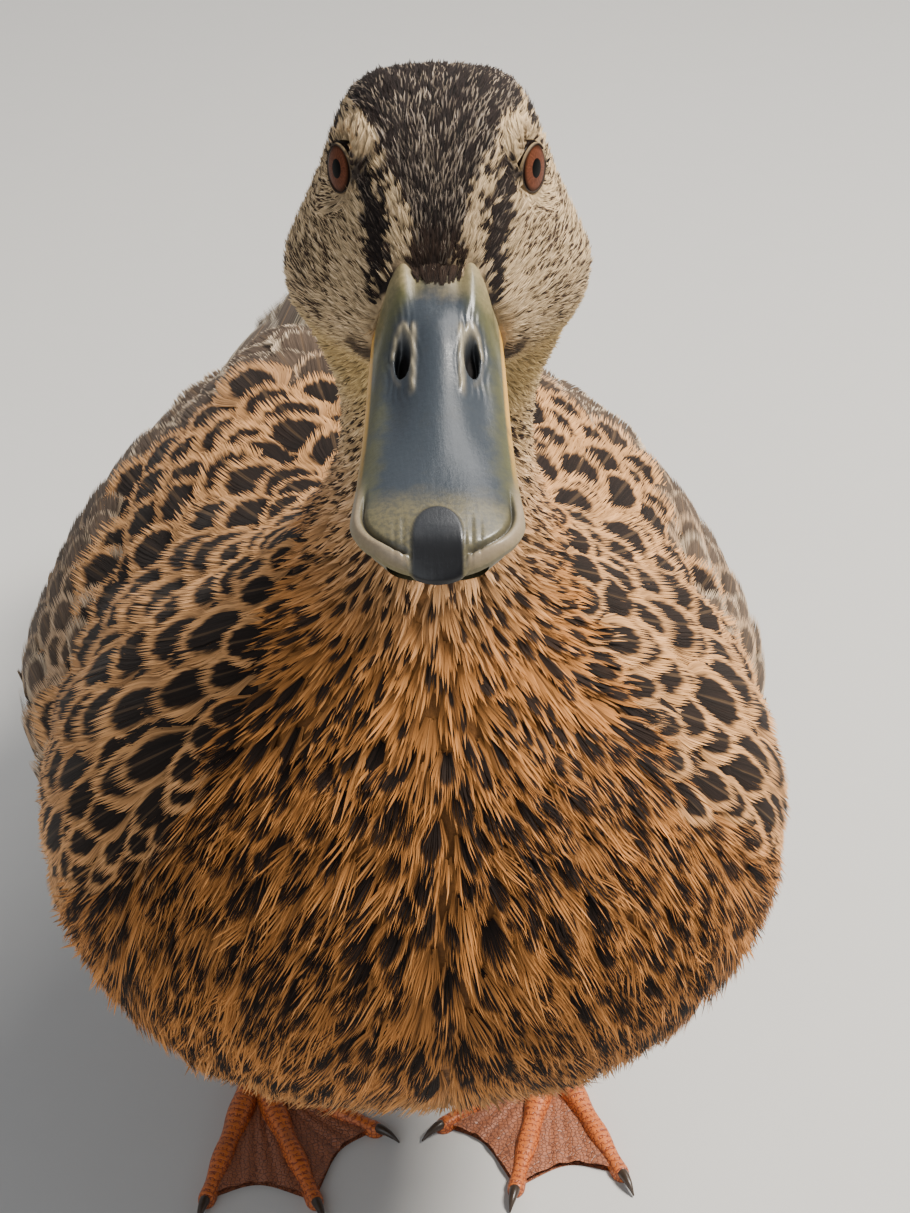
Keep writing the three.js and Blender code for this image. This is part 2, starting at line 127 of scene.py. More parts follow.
class DuckStage(bpy.types.PropertyGroup):
    eye: bpy.props.FloatVectorProperty(
        name="Camera place", description="Where the camera stands", size=3,
        default=(-0.0249, -0.4727, 0.4576), subtype="TRANSLATION", unit="LENGTH",
    )
    turn: bpy.props.FloatProperty(
        name="Camera turn", description="How far the view turns to the bird's left",
        default=math.radians(4.8), subtype="ANGLE", unit="ROTATION",
    )
    tilt: bpy.props.FloatProperty(
        name="Camera tilt", description="How far the view tilts down", default=math.radians(34.0),
        subtype="ANGLE", unit="ROTATION",
    )
    lens: bpy.props.FloatProperty(
        name="Lens", description="Focal length in millimetres", default=71.2, min=1.0,
    )
    floor: colour("Floor", "Pale grey of the floor", (0.62, 0.61, 0.59))


# ---- The bird's own axes ---------------------------------------------------------------------------------


def middle_of(node):
    low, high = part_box(node)
    return (low + high) / 2


class Head:
    """Axes of the head: ahead along the bill, to her left, and up, in millimetres from between the eyes."""

    def __init__(self):
        left, right = middle_of("eye_left"), middle_of("eye_right")
        self.origin = (left + right) / 2
        self.side = (left - right).normalized()
        level = self.side.cross(UP).normalized()
        self.ahead = level * math.cos(HEAD_DIP) - UP * math.sin(HEAD_DIP)
        self.up = UP * math.cos(HEAD_DIP) + level * math.sin(HEAD_DIP)
        self.eye_out = (left - self.origin).length / MM
        self.axes = np.array([self.ahead, self.side, self.up])

    def measure(self, points):
        """Points in the row frame, in metres, as (ahead, side, up) in millimetres."""
        return (np.asarray(points) - np.array(self.origin)) @ self.axes.T / MM

    def place(self, local):
        """(ahead, side, up) in millimetres as points in the row frame, in metres."""
        return np.asarray(local) * MM @ self.axes + np.array(self.origin)


HEAD = Head()
GAZE = np.array([0.44, 0.88, 0.16]) / np.linalg.norm([0.46, 0.87, 0.16])
EYE_RADIUS = 7.0
EYE_OPENING = math.radians(31)


def eye_centre(side):
    return np.array([0.0, side * HEAD.eye_out, 0.0])


def gaze(side):
    return GAZE * np.array([1, side, 1])


def smooth(value, low, high):
    """0 below low, 1 above high, and a smooth rise between."""
    share = np.clip((np.asarray(value, float) - low) / (high - low), 0, 1)
    return share * share * (3 - 2 * share)


def blend(a, b, share):
    share = np.asarray(share)[..., None]
    return np.asarray(a) * (1 - share) + np.asarray(b) * share


def unit(vectors):
    return vectors / np.maximum(np.linalg.norm(vectors, axis=-1, keepdims=True), 1e-12)


def facings(points, triangles):
    """Each triangle's normal, as long as twice its area."""
    corners = points[triangles]
    return np.cross(corners[:, 1] - corners[:, 0], corners[:, 2] - corners[:, 0])


def search_tree(points):
    tree = kdtree.KDTree(len(points))
    for index, point in enumerate(points.tolist()):
        tree.insert(point, index)
    tree.balance()
    return tree


def from_eye(head, side):
    """From an eye's centre to points in head axes: the way, how far, and the angle off the gaze."""
    out = head - eye_centre(side)
    far = np.linalg.norm(out, axis=1)
    return out, far, np.arccos(np.clip((out / far[:, None]) @ gaze(side), -1, 1))


# ---- Meshes ----------------------------------------------------------------------------------------------


def make_piece(name, vertices, quads, triangles, material, slot):
    """One mesh object, riding on the bird's body."""
    mesh = bpy.data.meshes.new(name)
    quads = np.asarray(quads, np.int32).reshape(-1, 4)
    triangles = np.asarray(triangles, np.int32).reshape(-1, 3)
    corners = np.concatenate([quads.ravel(), triangles.ravel()])
    starts = np.concatenate([np.arange(len(quads)) * 4, len(quads) * 4 + np.arange(len(triangles)) * 3])
    mesh.vertices.add(len(vertices))
    mesh.vertices.foreach_set("co", np.asarray(vertices, np.float32).ravel())
    mesh.loops.add(len(corners))
    mesh.loops.foreach_set("vertex_index", corners.astype(np.int32))
    mesh.polygons.add(len(starts))
    mesh.polygons.foreach_set("loop_start", starts.astype(np.int32))
    mesh.polygons.foreach_set("use_smooth", np.ones(len(starts), bool))
    mesh.update(calc_edges=True)
    mesh.materials.append(material)
    piece = bpy.data.objects.new(name, mesh)
    bpy.context.scene.collection.objects.link(piece)
    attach(piece, "root")
    return piece


def add_value(piece, name, values):
    layer = piece.data.attributes.new(name, "FLOAT", "POINT")
    layer.data.foreach_set("value", np.asarray(values, np.float32).ravel())


def add_colour(piece, name, values):
    values = np.asarray(values, np.float32)
    if values.shape[-1] == 3:
        values = np.concatenate([values, np.ones(values.shape[:-1] + (1,), np.float32)], axis=-1)
    layer = piece.data.attributes.new(name, "FLOAT_COLOR", "POINT")
    layer.data.foreach_set("color", values.ravel())


def add_map(piece, places):
    """The bake map, from a place for every vertex."""
    layer = piece.data.uv_layers.new(name="OFBake")
    corners = np.zeros(len(piece.data.loops), np.int32)
    piece.data.loops.foreach_get("vertex_index", corners)
    layer.data.foreach_set("uv", np.asarray(places, np.float32)[corners].ravel())


def grid_faces(rows, columns, wrap=False):
    """Quads of a grid of rows by columns, closed round its columns if wrap."""
    across = columns if wrap else columns - 1
    r, c = np.meshgrid(np.arange(rows - 1), np.arange(across), indexing="ij")
    n = (c + 1) % columns
    here, up = r * columns, (r + 1) * columns
    return np.stack([here + c, here + n, up + n, up + c], -1).reshape(-1, 4)


class Parts:
    """Several grids gathered into one mesh, with named numbers for every vertex."""

    def __init__(self):
        self.vertices, self.quads, self.values, self.count = [], [], {}, 0

    def add(self, points, wrap=False, close=(), **values):
        """Adds a rows by columns grid of points. close names the ends, 0 and -1, that get a cap."""
        points = np.asarray(points, float)
        rows, columns = points.shape[:2]
        if close:
            cap = lambda end: [np.repeat(points[end].mean(0)[None], columns, 0)[None]] if end in close else []
            shape = rows, columns
            points = np.concatenate(cap(0) + [points] + cap(-1))
            pad = lambda v: np.concatenate([v[:1]] * (0 in close) + [v] + [v[-1:]] * (-1 in close))
            values = {k: pad(np.broadcast_to(np.asarray(v, float), shape)) for k, v in values.items()}
            rows = len(points)
        self.vertices.append(points.reshape(-1, 3))
        self.quads.append(grid_faces(rows, columns, wrap) + self.count)
        for key, value in values.items():
            flat = np.broadcast_to(np.asarray(value, float), (rows, columns)).ravel()
            self.values.setdefault(key, []).append(flat)
        self.count += rows * columns

    def piece(self, name, material, slot, in_head=False):
        vertices = np.concatenate(self.vertices)
        vertices = HEAD.place(vertices) if in_head else vertices
        made = make_piece(name, vertices, np.concatenate(self.quads), [], material, slot)
        for key, value in self.values.items():
            add_value(made, key, np.concatenate(value))
        return made


# ---- Materials -------------------------------------------------------------------------------------------


class Graph:
    """A material's nodes, made from short calls."""

    def __init__(self, name, roughness=0.5, **constants):
        self.material = bpy.data.materials.new(name)
        self.material.use_nodes = True
        self.tree = self.material.node_tree
        self.shader = next(n for n in self.tree.nodes if n.type == "BSDF_PRINCIPLED")
        self.shader.inputs["Roughness"].default_value = roughness
        for key, value in constants.items():
            self.shader.inputs[key.replace("_", " ")].default_value = value

    def put(self, value, socket):
        if isinstance(value, bpy.types.NodeSocket):
            self.tree.links.new(value, socket)
        elif value is not None:
            socket.default_value = (*value, 1.0) if socket.type == "RGBA" and len(value) == 3 else value

    def node(self, kind, settings=None, **inputs):
        made = self.tree.nodes.new("ShaderNode" + kind)
        for key, value in (settings or {}).items():
            setattr(made, key, value)
        for key, value in inputs.items():
            self.put(value, made.inputs[key.replace("_", " ")])
        return made

    def attribute(self, name):
        return self.node("Attribute", {"attribute_name": name})

    def math(self, operation, *values, clamp=False):
        made = self.node("Math", {"operation": operation, "use_clamp": clamp})
        for value, socket in zip(values, made.inputs):
            self.put(value, socket)
        return made.outputs[0]

    def step(self, value, low, high, first=0.0, last=1.0):
        """A smooth step from first to last while value goes from low to high."""
        made = self.node("MapRange", {"interpolation_type": "SMOOTHSTEP"})
        keys = ("Value", "From Min", "From Max", "To Min", "To Max")
        for item, key in zip((value, low, high, first, last), keys):
            self.put(item, made.inputs[key])
        return made.outputs[0]

    def mix(self, share, a, b, how="MIX"):
        made = self.node("Mix", {"data_type": "RGBA", "blend_type": how, "clamp_factor": True})
        for value, index in ((share, 0), (a, 6), (b, 7)):
            self.put(value, made.inputs[index])
        return made.outputs[2]

    def split(self, vector):
        return self.node("SeparateXYZ", Vector=vector).outputs

    def join(self, x, y, z):
        return self.node("CombineXYZ", X=x, Y=y, Z=z).outputs[0]

    def noise(self, vector, scale, detail=3.0, roughness=0.55):
        made = self.node("TexNoise", None, Vector=vector, Scale=scale, Detail=detail, Roughness=roughness)
        return made.outputs["Fac"]

    def place(self):
        return self.node("TexCoord").outputs["Object"]

    def bump(self, height, strength, distance):
        made = self.node("Bump", None, Height=height, Strength=strength, Distance=distance)
        self.put(made.outputs[0], self.shader.inputs["Normal"])

    def finish(self, base, roughness=None):
        self.put(base, self.shader.inputs["Base Color"])
        self.put(roughness, self.shader.inputs["Roughness"])
        return self.material


def plumage_material(name, roughness=0.72):
    """Feather: a dark mark in a paler ground, from each vane's own place along and across."""
    g = Graph(name, roughness, Specular_IOR_Level=0.16, Sheen_Weight=0.04, Sheen_Roughness=0.4)
    vane = g.attribute("vane")
    along, across01, chance = g.split(vane.outputs["Color"])
    ground, mark, extra = g.attribute("ground"), g.attribute("mark"), g.attribute("extra")
    size, ring = ground.outputs["Alpha"], mark.outputs["Alpha"]
    shaft, wash, root_shade = g.split(extra.outputs["Color"])
    across = g.math("MULTIPLY_ADD", across01, 2.0, -1.0)
    ahead = g.math("MAXIMUM", g.math("DIVIDE", g.math("SUBTRACT", along, 0.4), 0.6), 0.0)
    rim = g.math("SQRT", g.math("ADD", g.math("MULTIPLY", across, across), g.math("MULTIPLY", ahead, ahead)))
    seat = g.math("MULTIPLY", chance, 57.0)
    drawn = lambda wide, long: g.join(g.math("MULTIPLY", across, wide), g.math("MULTIPLY", along, long), seat)
    barbs = g.noise(drawn(9.0, 2.2), 1.0, 3.0, 0.7)
    fine = g.noise(drawn(26.0, 4.0), 1.0, 2.0, 0.6)
    frayed = g.math("ADD", rim, g.math("MULTIPLY_ADD", barbs, 0.5, -0.25))
    inside = g.step(frayed, g.math("SUBTRACT", size, 0.09), g.math("ADD", size, 0.09), 1.0, 0.0)
    inside = g.math("MULTIPLY", inside, g.step(size, 0.02, 0.1))
    ring_at = g.math("ABSOLUTE", g.math("SUBTRACT", frayed, g.math("MULTIPLY", size, 0.55)))
    ringed = g.math("MULTIPLY", g.step(ring_at, 0.03, 0.13, 1.0, 0.0), ring)
    strand = vane.outputs["Alpha"]
    paler = g.mix(1.0, ground.outputs["Color"], (1.30, 1.42, 1.75), "MULTIPLY")
    frost = g.math("MULTIPLY", g.step(along, 0.72, 1.0), 0.45)
    frost = g.math("ADD", frost, g.math("MULTIPLY", g.step(strand, 0.62, 0.95), 0.6), clamp=True)
    edge = g.mix(g.math("MULTIPLY", frost, wash), ground.outputs["Color"], paler)
    coloured = g.mix(inside, edge, mark.outputs["Color"])
    coloured = g.mix(ringed, coloured, ground.outputs["Color"])
    quill = g.math("MULTIPLY", g.step(g.math("ABSOLUTE", across), 0.02, 0.06, 1.0, 0.0), shaft)
    coloured = g.mix(quill, coloured, (0.20, 0.12, 0.06))
    tone = g.math("MULTIPLY_ADD", fine, 0.9, 0.52)
    tone = g.math("MULTIPLY", tone, g.math("MULTIPLY_ADD", strand, 0.34, 0.82))
    # painted shade: the strands with the lowest random value are darkened to stand for the shadows in the
    # gaps between strands
    streak = g.math("MULTIPLY", g.step(strand, 0.0, 0.30, -0.58, 0.0), g.step(wash, 0.25, 0.5))
    tone = g.math("MULTIPLY", tone, g.math("ADD", streak, 1.0))
    # painted shade: each vane darkens towards its root, where the feathers lying over it would shade it
    tone = g.math("MULTIPLY", tone, g.step(along, 0.1, 0.75, root_shade, 1.0))
    toned = g.mix(1.0, coloured, g.join(tone, tone, tone), "MULTIPLY")
    g.bump(g.math("ADD", fine, barbs), 0.35, 0.0004)
    return g.finish(toned)


def skin_material():
    """Bare skin and down under the coat, in the coat's own markings."""
    g = Graph("skin_down", 0.8, Specular_IOR_Level=0.2)
    marking = g.attribute("marking").outputs["Color"]
    grain = g.noise(g.place(), 900.0, 4.0, 0.7)
    dark = g.math("MULTIPLY_ADD", grain, 0.7, 0.3)
    g.bump(grain, 0.5, 0.0006)
    return g.finish(g.mix(1.0, marking, g.join(dark, dark, dark), "MULTIPLY"))


def speculum_material():
    """The bright bar across the secondaries: brown, black, violet blue, black and a white tip."""
    c = bpy.context.scene.duck_colours
    g = Graph("speculum", 0.38, Specular_IOR_Level=0.55, Coat_Weight=0.25, Coat_Roughness=0.3)
    along, across01, chance = g.split(g.attribute("vane").outputs["Color"])
    across = g.math("MULTIPLY_ADD", across01, 2.0, -1.0)
    fine = g.noise(g.join(g.math("MULTIPLY", across, 30.0), g.math("MULTIPLY", along, 6.0), chance), 1.0)
    at = g.math("ADD", along, g.math("MULTIPLY_ADD", fine, 0.03, -0.015))
    shade = g.mix(g.step(at, 0.50, 0.53), tuple(c.flight), (0.02, 0.02, 0.022))
    shade = g.mix(g.step(at, 0.56, 0.60), shade, tuple(c.speculum))
    shade = g.mix(g.step(at, 0.84, 0.87), shade, (0.012, 0.012, 0.014))
    shade = g.mix(g.step(at, 0.92, 0.94), shade, (0.78, 0.74, 0.66))
    tone = g.math("MULTIPLY_ADD", fine, 0.6, 0.7)
    g.bump(fine, 0.3, 0.0003)
    return g.finish(g.mix(1.0, shade, g.join(tone, tone, tone), "MULTIPLY"))


def bill_material():
    """Smooth horn: slate along the ridge, olive at the sides and root, a pale lip and a dark nail."""
    c = bpy.context.scene.duck_colours
    g = Graph("bill_horn", 0.3, Specular_IOR_Level=0.38, Coat_Weight=0.08, Coat_Roughness=0.2)
    along = g.attribute("along").outputs["Fac"]
    across = g.math("ABSOLUTE", g.attribute("across").outputs["Fac"])
    lip, nail, pit, pale = (g.attribute(n).outputs["Fac"] for n in ("lip", "nail", "pit", "pale"))
    place = g.place()
    cloud = g.noise(place, 260.0, 4.0, 0.6)
    speck = g.noise(place, 1500.0, 3.0, 0.6)
    x, y, z = g.split(place)
    grain = g.noise(g.join(g.math("MULTIPLY", x, 1800.0), g.math("MULTIPLY", y, 260.0), z), 1.0, 3.0, 0.6)
    side = g.math("ADD", across, g.math("MULTIPLY_ADD", cloud, 0.5, -0.25))
    root = g.step(along, 0.0, 0.22, 0.62, 0.0)
    olive = g.step(g.math("ADD", side, root), 0.58, 1.02)
    shade = g.mix(g.math("MULTIPLY", olive, 0.9), tuple(c.bill), tuple(c.bill_side))
    dry = g.step(g.math("MULTIPLY_ADD", cloud, 0.12, along), 0.075, 0.17, 1.0, 0.0)
    shade = g.mix(dry, shade, g.mix(speck, (0.18, 0.14, 0.066), (0.33, 0.26, 0.13)))
    edge = g.math("MULTIPLY", g.step(across, 0.905, 0.955), g.step(along, 0.3, 0.80, 1.0, 0.1))
    shade = g.mix(edge, shade, (0.60, 0.31, 0.035))
    band = g.step(g.math("MULTIPLY_ADD", cloud, 0.10, along), 0.78, 0.90)
    band = g.math("MULTIPLY", band, g.step(speck, 0.35, 0.6, 0.45, 0.75))
    shade = g.mix(band, shade, (0.15, 0.125, 0.062))
    shade = g.mix(g.math("MULTIPLY", g.step(cloud, 0.55, 0.72), 0.4), shade, (0.032, 0.036, 0.038))
    shade = g.mix(g.math("MULTIPLY", pale, 0.8), shade, (0.42, 0.35, 0.22))
    shade = g.mix(g.math("MULTIPLY", lip, 0.85), shade, tuple(c.bill_lip))
    dusky = g.mix(g.step(along, 0.915, 0.965), (0.026, 0.028, 0.032), tuple(c.nail))
    shade = g.mix(nail, shade, dusky)
    # painted shade: near black in the nostril pits and in the groove inside the lip
    shade = g.mix(pit, shade, (0.008, 0.007, 0.007))
    tone = g.math("MULTIPLY_ADD", speck, 0.4, 0.8)
    g.bump(g.math("ADD", grain, speck), 0.12, 0.0003)
    worn = g.math("MAXIMUM", g.math("MULTIPLY", dry, 0.35), g.step(across, 0.86, 0.95, 0.0, 0.25))
    rough = g.math("ADD", g.math("MULTIPLY_ADD", cloud, 0.22, 0.22), worn)
    return g.finish(g.mix(1.0, shade, g.join(tone, tone, tone), "MULTIPLY"), rough)


def eye_material():
    """Wet eye: black pupil, brown iris with fine spokes, and a dark rim."""
    c = bpy.context.scene.duck_colours
    g = Graph("eye_wet", 0.05, Specular_IOR_Level=0.5, IOR=1.08)
    out = g.attribute("out").outputs["Fac"]
    round_it = g.attribute("turn").outputs["Fac"]
    spokes = g.noise(g.join(g.math("MULTIPLY", round_it, 60.0), g.math("MULTIPLY", out, 0.16), 0.0), 1.0, 3.0)
    shaded, lit = tuple(v * 0.8 for v in c.iris), tuple(min(1, v * 1.5) for v in c.iris)
    iris = g.mix(g.step(spokes, 0.3, 0.75), shaded, lit)
    iris = g.mix(g.step(out, 24.0, 29.5), iris, (0.035, 0.012, 0.005))
    shade = g.mix(g.step(out, 12.8, 13.8), (0.001, 0.001, 0.001), iris)
    shade = g.mix(g.step(out, 29.5, 31.0), shade, (0.008, 0.005, 0.004))
    return g.finish(shade)


def foot_material():
    """Scaly skin of the legs, toes and webs."""
    c = bpy.context.scene.duck_colours
    g = Graph("foot_scales", 0.42, Specular_IOR_Level=0.45, Coat_Weight=0.1, Coat_Roughness=0.3)
    along, across = g.attribute("along").outputs["Fac"], g.attribute("across").outputs["Fac"]
    webbed = g.attribute("web").outputs["Fac"]
    place = g.place()
    cells = g.node("TexVoronoi", {"feature": "DISTANCE_TO_EDGE"}, Vector=place, Scale=900.0, Randomness=0.85)
    fine = g.noise(place, 1300.0, 3.0, 0.6)
    cloud = g.noise(place, 180.0, 3.0, 0.6)
    bars = g.math("SINE", g.math("MULTIPLY", along, 2 * math.pi))
    on_top = g.step(g.math("ABSOLUTE", across), 0.45, 0.8, 1.0, 0.0)
    scute = g.math("MULTIPLY", g.step(bars, -0.2, 0.5), on_top)
    cell = g.step(cells.outputs["Distance"], 0.0, 0.16)
    scale = g.math("MAXIMUM", scute, g.math("MULTIPLY", cell, 0.7))
    scale = g.mix(webbed, scale, cell)
    toe = g.mix(g.step(scale, 0.1, 0.8), (0.26, 0.05, 0.015), tuple(c.foot))
    skin = g.mix(g.step(cell, 0.0, 0.8), (0.16, 0.06, 0.035), tuple(c.web))
    shade = g.mix(webbed, toe, skin)
    shade = g.mix(g.math("MULTIPLY", g.step(cloud, 0.5, 0.75), 0.35), shade, (0.17, 0.075, 0.045))
    tone = g.math("MULTIPLY_ADD", fine, 0.5, 0.75)
    g.bump(g.math("ADD", scale, g.math("MULTIPLY", fine, 0.35)), 0.55, 0.00035)
    return g.finish(g.mix(1.0, shade, g.join(tone, tone, tone), "MULTIPLY"))


def claw_material():
    c = bpy.context.scene.duck_colours
    g = Graph("claw_horn", 0.32, Specular_IOR_Level=0.5)
    place = g.place()
    streak = g.noise(place, 700.0, 3.0, 0.6)
    g.bump(streak, 0.2, 0.0002)
    return g.finish(g.mix(streak, tuple(c.claw), (0.075, 0.05, 0.035)))


def lid_material():
    """Bare lid skin: a dark rim, and the colour of the face beyond it."""
    c = bpy.context.scene.duck_colours
    g = Graph("eyelid", 0.75, Specular_IOR_Level=0.12)
    fine = g.noise(g.place(), 2600.0, 3.0, 0.6)
    g.bump(fine, 0.5, 0.0002)
    dark = g.mix(fine, (0.014, 0.010, 0.008), (0.05, 0.034, 0.024))
    pale = g.mix(fine, tuple(0.2 * v for v in c.face), tuple(0.5 * v for v in c.face))
    return g.finish(g.mix(g.attribute("outer").outputs["Fac"], dark, pale))


def floor_material():
    g = Graph("floor_paper", 0.75, Specular_IOR_Level=0.2)
    grain = g.noise(g.place(), 60.0, 4.0, 0.6)
    shade = tuple(bpy.context.scene.duck_stage.floor)
    g.bump(grain, 0.04, 0.001)
    return g.finish(g.mix(grain, tuple(v * 0.97 for v in shade), shade))


# ---- The bill's form -------------------------------------------------------------------------------------

BILL_ROOT = (20.02, -13.94)
BILL_LENGTH = 55.6
BILL_SHAPE = np.array([  # a share of the length, and there half the width and the height of the ridge
    (0.0, 9.9, 15.0), (0.18, 10.3, 12.0), (0.4, 10.7, 8.3),
    (0.62, 11.3, 6.1), (0.84, 12.0, 4.8), (1.0, 11.8, 4.0),
])
BILL_TIP = 0.80


def curve_through(table, column, t):
    """A smooth curve through one column of a table whose first column is t."""
    xs, ys = table[:, 0], table[:, column]
    slopes = np.gradient(ys, xs)
    index = np.clip(np.searchsorted(xs, t) - 1, 0, len(xs) - 2)
    width = xs[index + 1] - xs[index]
    s = (t - xs[index]) / width
    h00, h10 = 2 * s**3 - 3 * s**2 + 1, s**3 - 2 * s**2 + s
    h01, h11 = -2 * s**3 + 3 * s**2, s**3 - s**2
    start = h00 * ys[index] + h10 * width * slopes[index]
    return start + h01 * ys[index + 1] + h11 * width * slopes[index + 1]


def bell(value, middle, width):
    return np.exp(-(((value - middle) / width) ** 2))


def bill_side(t):
    """Half the bill's width at t, before the tip is rounded, and how far into the tip t is."""
    return curve_through(BILL_SHAPE, 1, np.maximum(t, 0)), np.clip((t - BILL_TIP) / (1 - BILL_TIP), 0, 1)


def bill_half(t):
    wide, past = bill_side(t)
    return wide * np.sqrt(np.maximum(0.0, 1 - past ** 2.4))


def bill_edge(t):
    """Height of the upper bill's cutting edge."""
    inside = np.clip(t, 0, 1)
    return BILL_ROOT[1] - 5.6 - 1.6 * np.sin(math.pi * inside) - 0.9 - 1.3 * smooth(t, 0.93, 1.0)


def bill_top(t, s):
    """The upper bill's surface at a share t of its length and s to its side: its height, and its markings."""
    wide, past = bill_side(t)
    rho = np.clip(np.sqrt((s / wide) ** 2 + past ** 2.4), 0, 1)
    v = np.abs(s) / wide
    ridge = curve_through(BILL_SHAPE, 2, np.maximum(t, 0))
    power, root = 2.15 + 0.35 * smooth(t, 0.3, 0.9), 1.5 + 0.2 * smooth(t, 0.2, 0.9)
    height = 0.9 + (ridge - 0.9) * np.maximum(0, 1 - rho ** power) ** (1 / root)
    height = height + 0.9 * bell(v, 0, 0.30) * smooth(t, 0.10, 0.2) * (1 - smooth(t, 0.35, 0.8))
    height = height - 1.1 * bell(v, 0.60, 0.2) * smooth(t, 0.12, 0.25) * (1 - smooth(t, 0.35, 0.66))
    lobes = np.interp(t, [-0.045, -0.030, -0.018, 0.0, 0.036, 0.09, 0.2], [0.0, 1.5, 2.4, 2.8, 2.6, 1.7, 0.0])
    height = height + lobes * np.exp(-np.abs((np.abs(s) - 6.2) / 2.3) ** 3)
    height = height - 0.7 * bell(s, 0, 3.0) * smooth(t, 0.05, 0.09) * (1 - smooth(t, 0.14, 0.26))
    at_tip = smooth(t, 0.62, 0.78)
    away = smooth(np.abs(s), 3.2, 5.0)
    lip = bell(rho, 0.945, 0.062) * at_tip * away
    groove = bell(rho, 0.845, 0.026) * smooth(t, 0.68, 0.82) * away
    height = height + 0.60 * lip - 0.70 * groove
    creases = bell(np.abs(s), 4.6, 0.22) + 0.6 * bell(np.abs(s), 5.8, 0.2)
    height = height - 0.18 * creases * smooth(t, 0.84, 0.9)
    shield = np.hypot(s / 3.7, np.minimum((t - 0.93) * BILL_LENGTH, 0) / 5.8)
    nail = (1 - smooth(shield, 0.86, 1.0)) * (t > 0.75)
    height = height + 0.38 * nail
    along, across = (t - 0.255) * BILL_LENGTH / 3.9, (np.abs(s) - 5.0 - 2.4 * (0.255 - t)) / 1.3
    hole = np.hypot(along, across)
    pit = 1 - smooth(hole, 0.62, 0.95)
    beside = smooth(along, -1.35, -0.8) * (1 - smooth(along, 1.5, 2.2))
    rim = bell(across, -1.15 + 0.16 * along, 0.30) * beside
    rim = np.maximum(rim, 0.9 * bell(hole, 1.15, 0.2) * (along < -0.3))
    rim = rim * (0.78 + 0.22 * np.sin(along * 6 + across * 9))
    rim = np.maximum(rim, 0.15 * bell(hole, 1.22, 0.14) * (across > 0.3) * (along > -0.9))
    height = height - 2.6 * pit + 0.55 * rim
    folds = 0.10 * np.sin(across * 9 + 2 * np.sin(along * 3)) * bell(hole, 1.6, 0.5)
    # the pit mark, which also covers the lip's groove, is painted shade in these hollows
    marks = {"lip": lip, "nail": nail, "pit": np.maximum(pit, 0.7 * groove), "pale": rim}
    return bill_edge(t) + height + folds, marks


TONGUE = (19.5, 23.8)


def tongue_half(ahead):
    """Half the width of the feathered point that runs down onto the bill."""
    return np.interp(ahead, [17.5, 21.0, 22.6, 23.4, TONGUE[1]], [5.0, 4.5, 3.5, 2.1, 0.4])


def tongue_bed():
    """The bill's top where feathers cover it, as a grid of places and its quads."""
    ahead = np.linspace(*TONGUE, 26)[:, None]
    s = np.linspace(-5.0, 5.0, 19)[None, :] + 0 * ahead
    up, _ = bill_top((ahead - BILL_ROOT[0]) / BILL_LENGTH + 0 * s, s)
    places = np.stack([ahead + 0 * s, s, up + 0.15], -1).reshape(-1, 3)
    return HEAD.place(places), grid_faces(*s.shape)[:, ::-1]


# ---- The skin --------------------------------------------------------------------------------------------


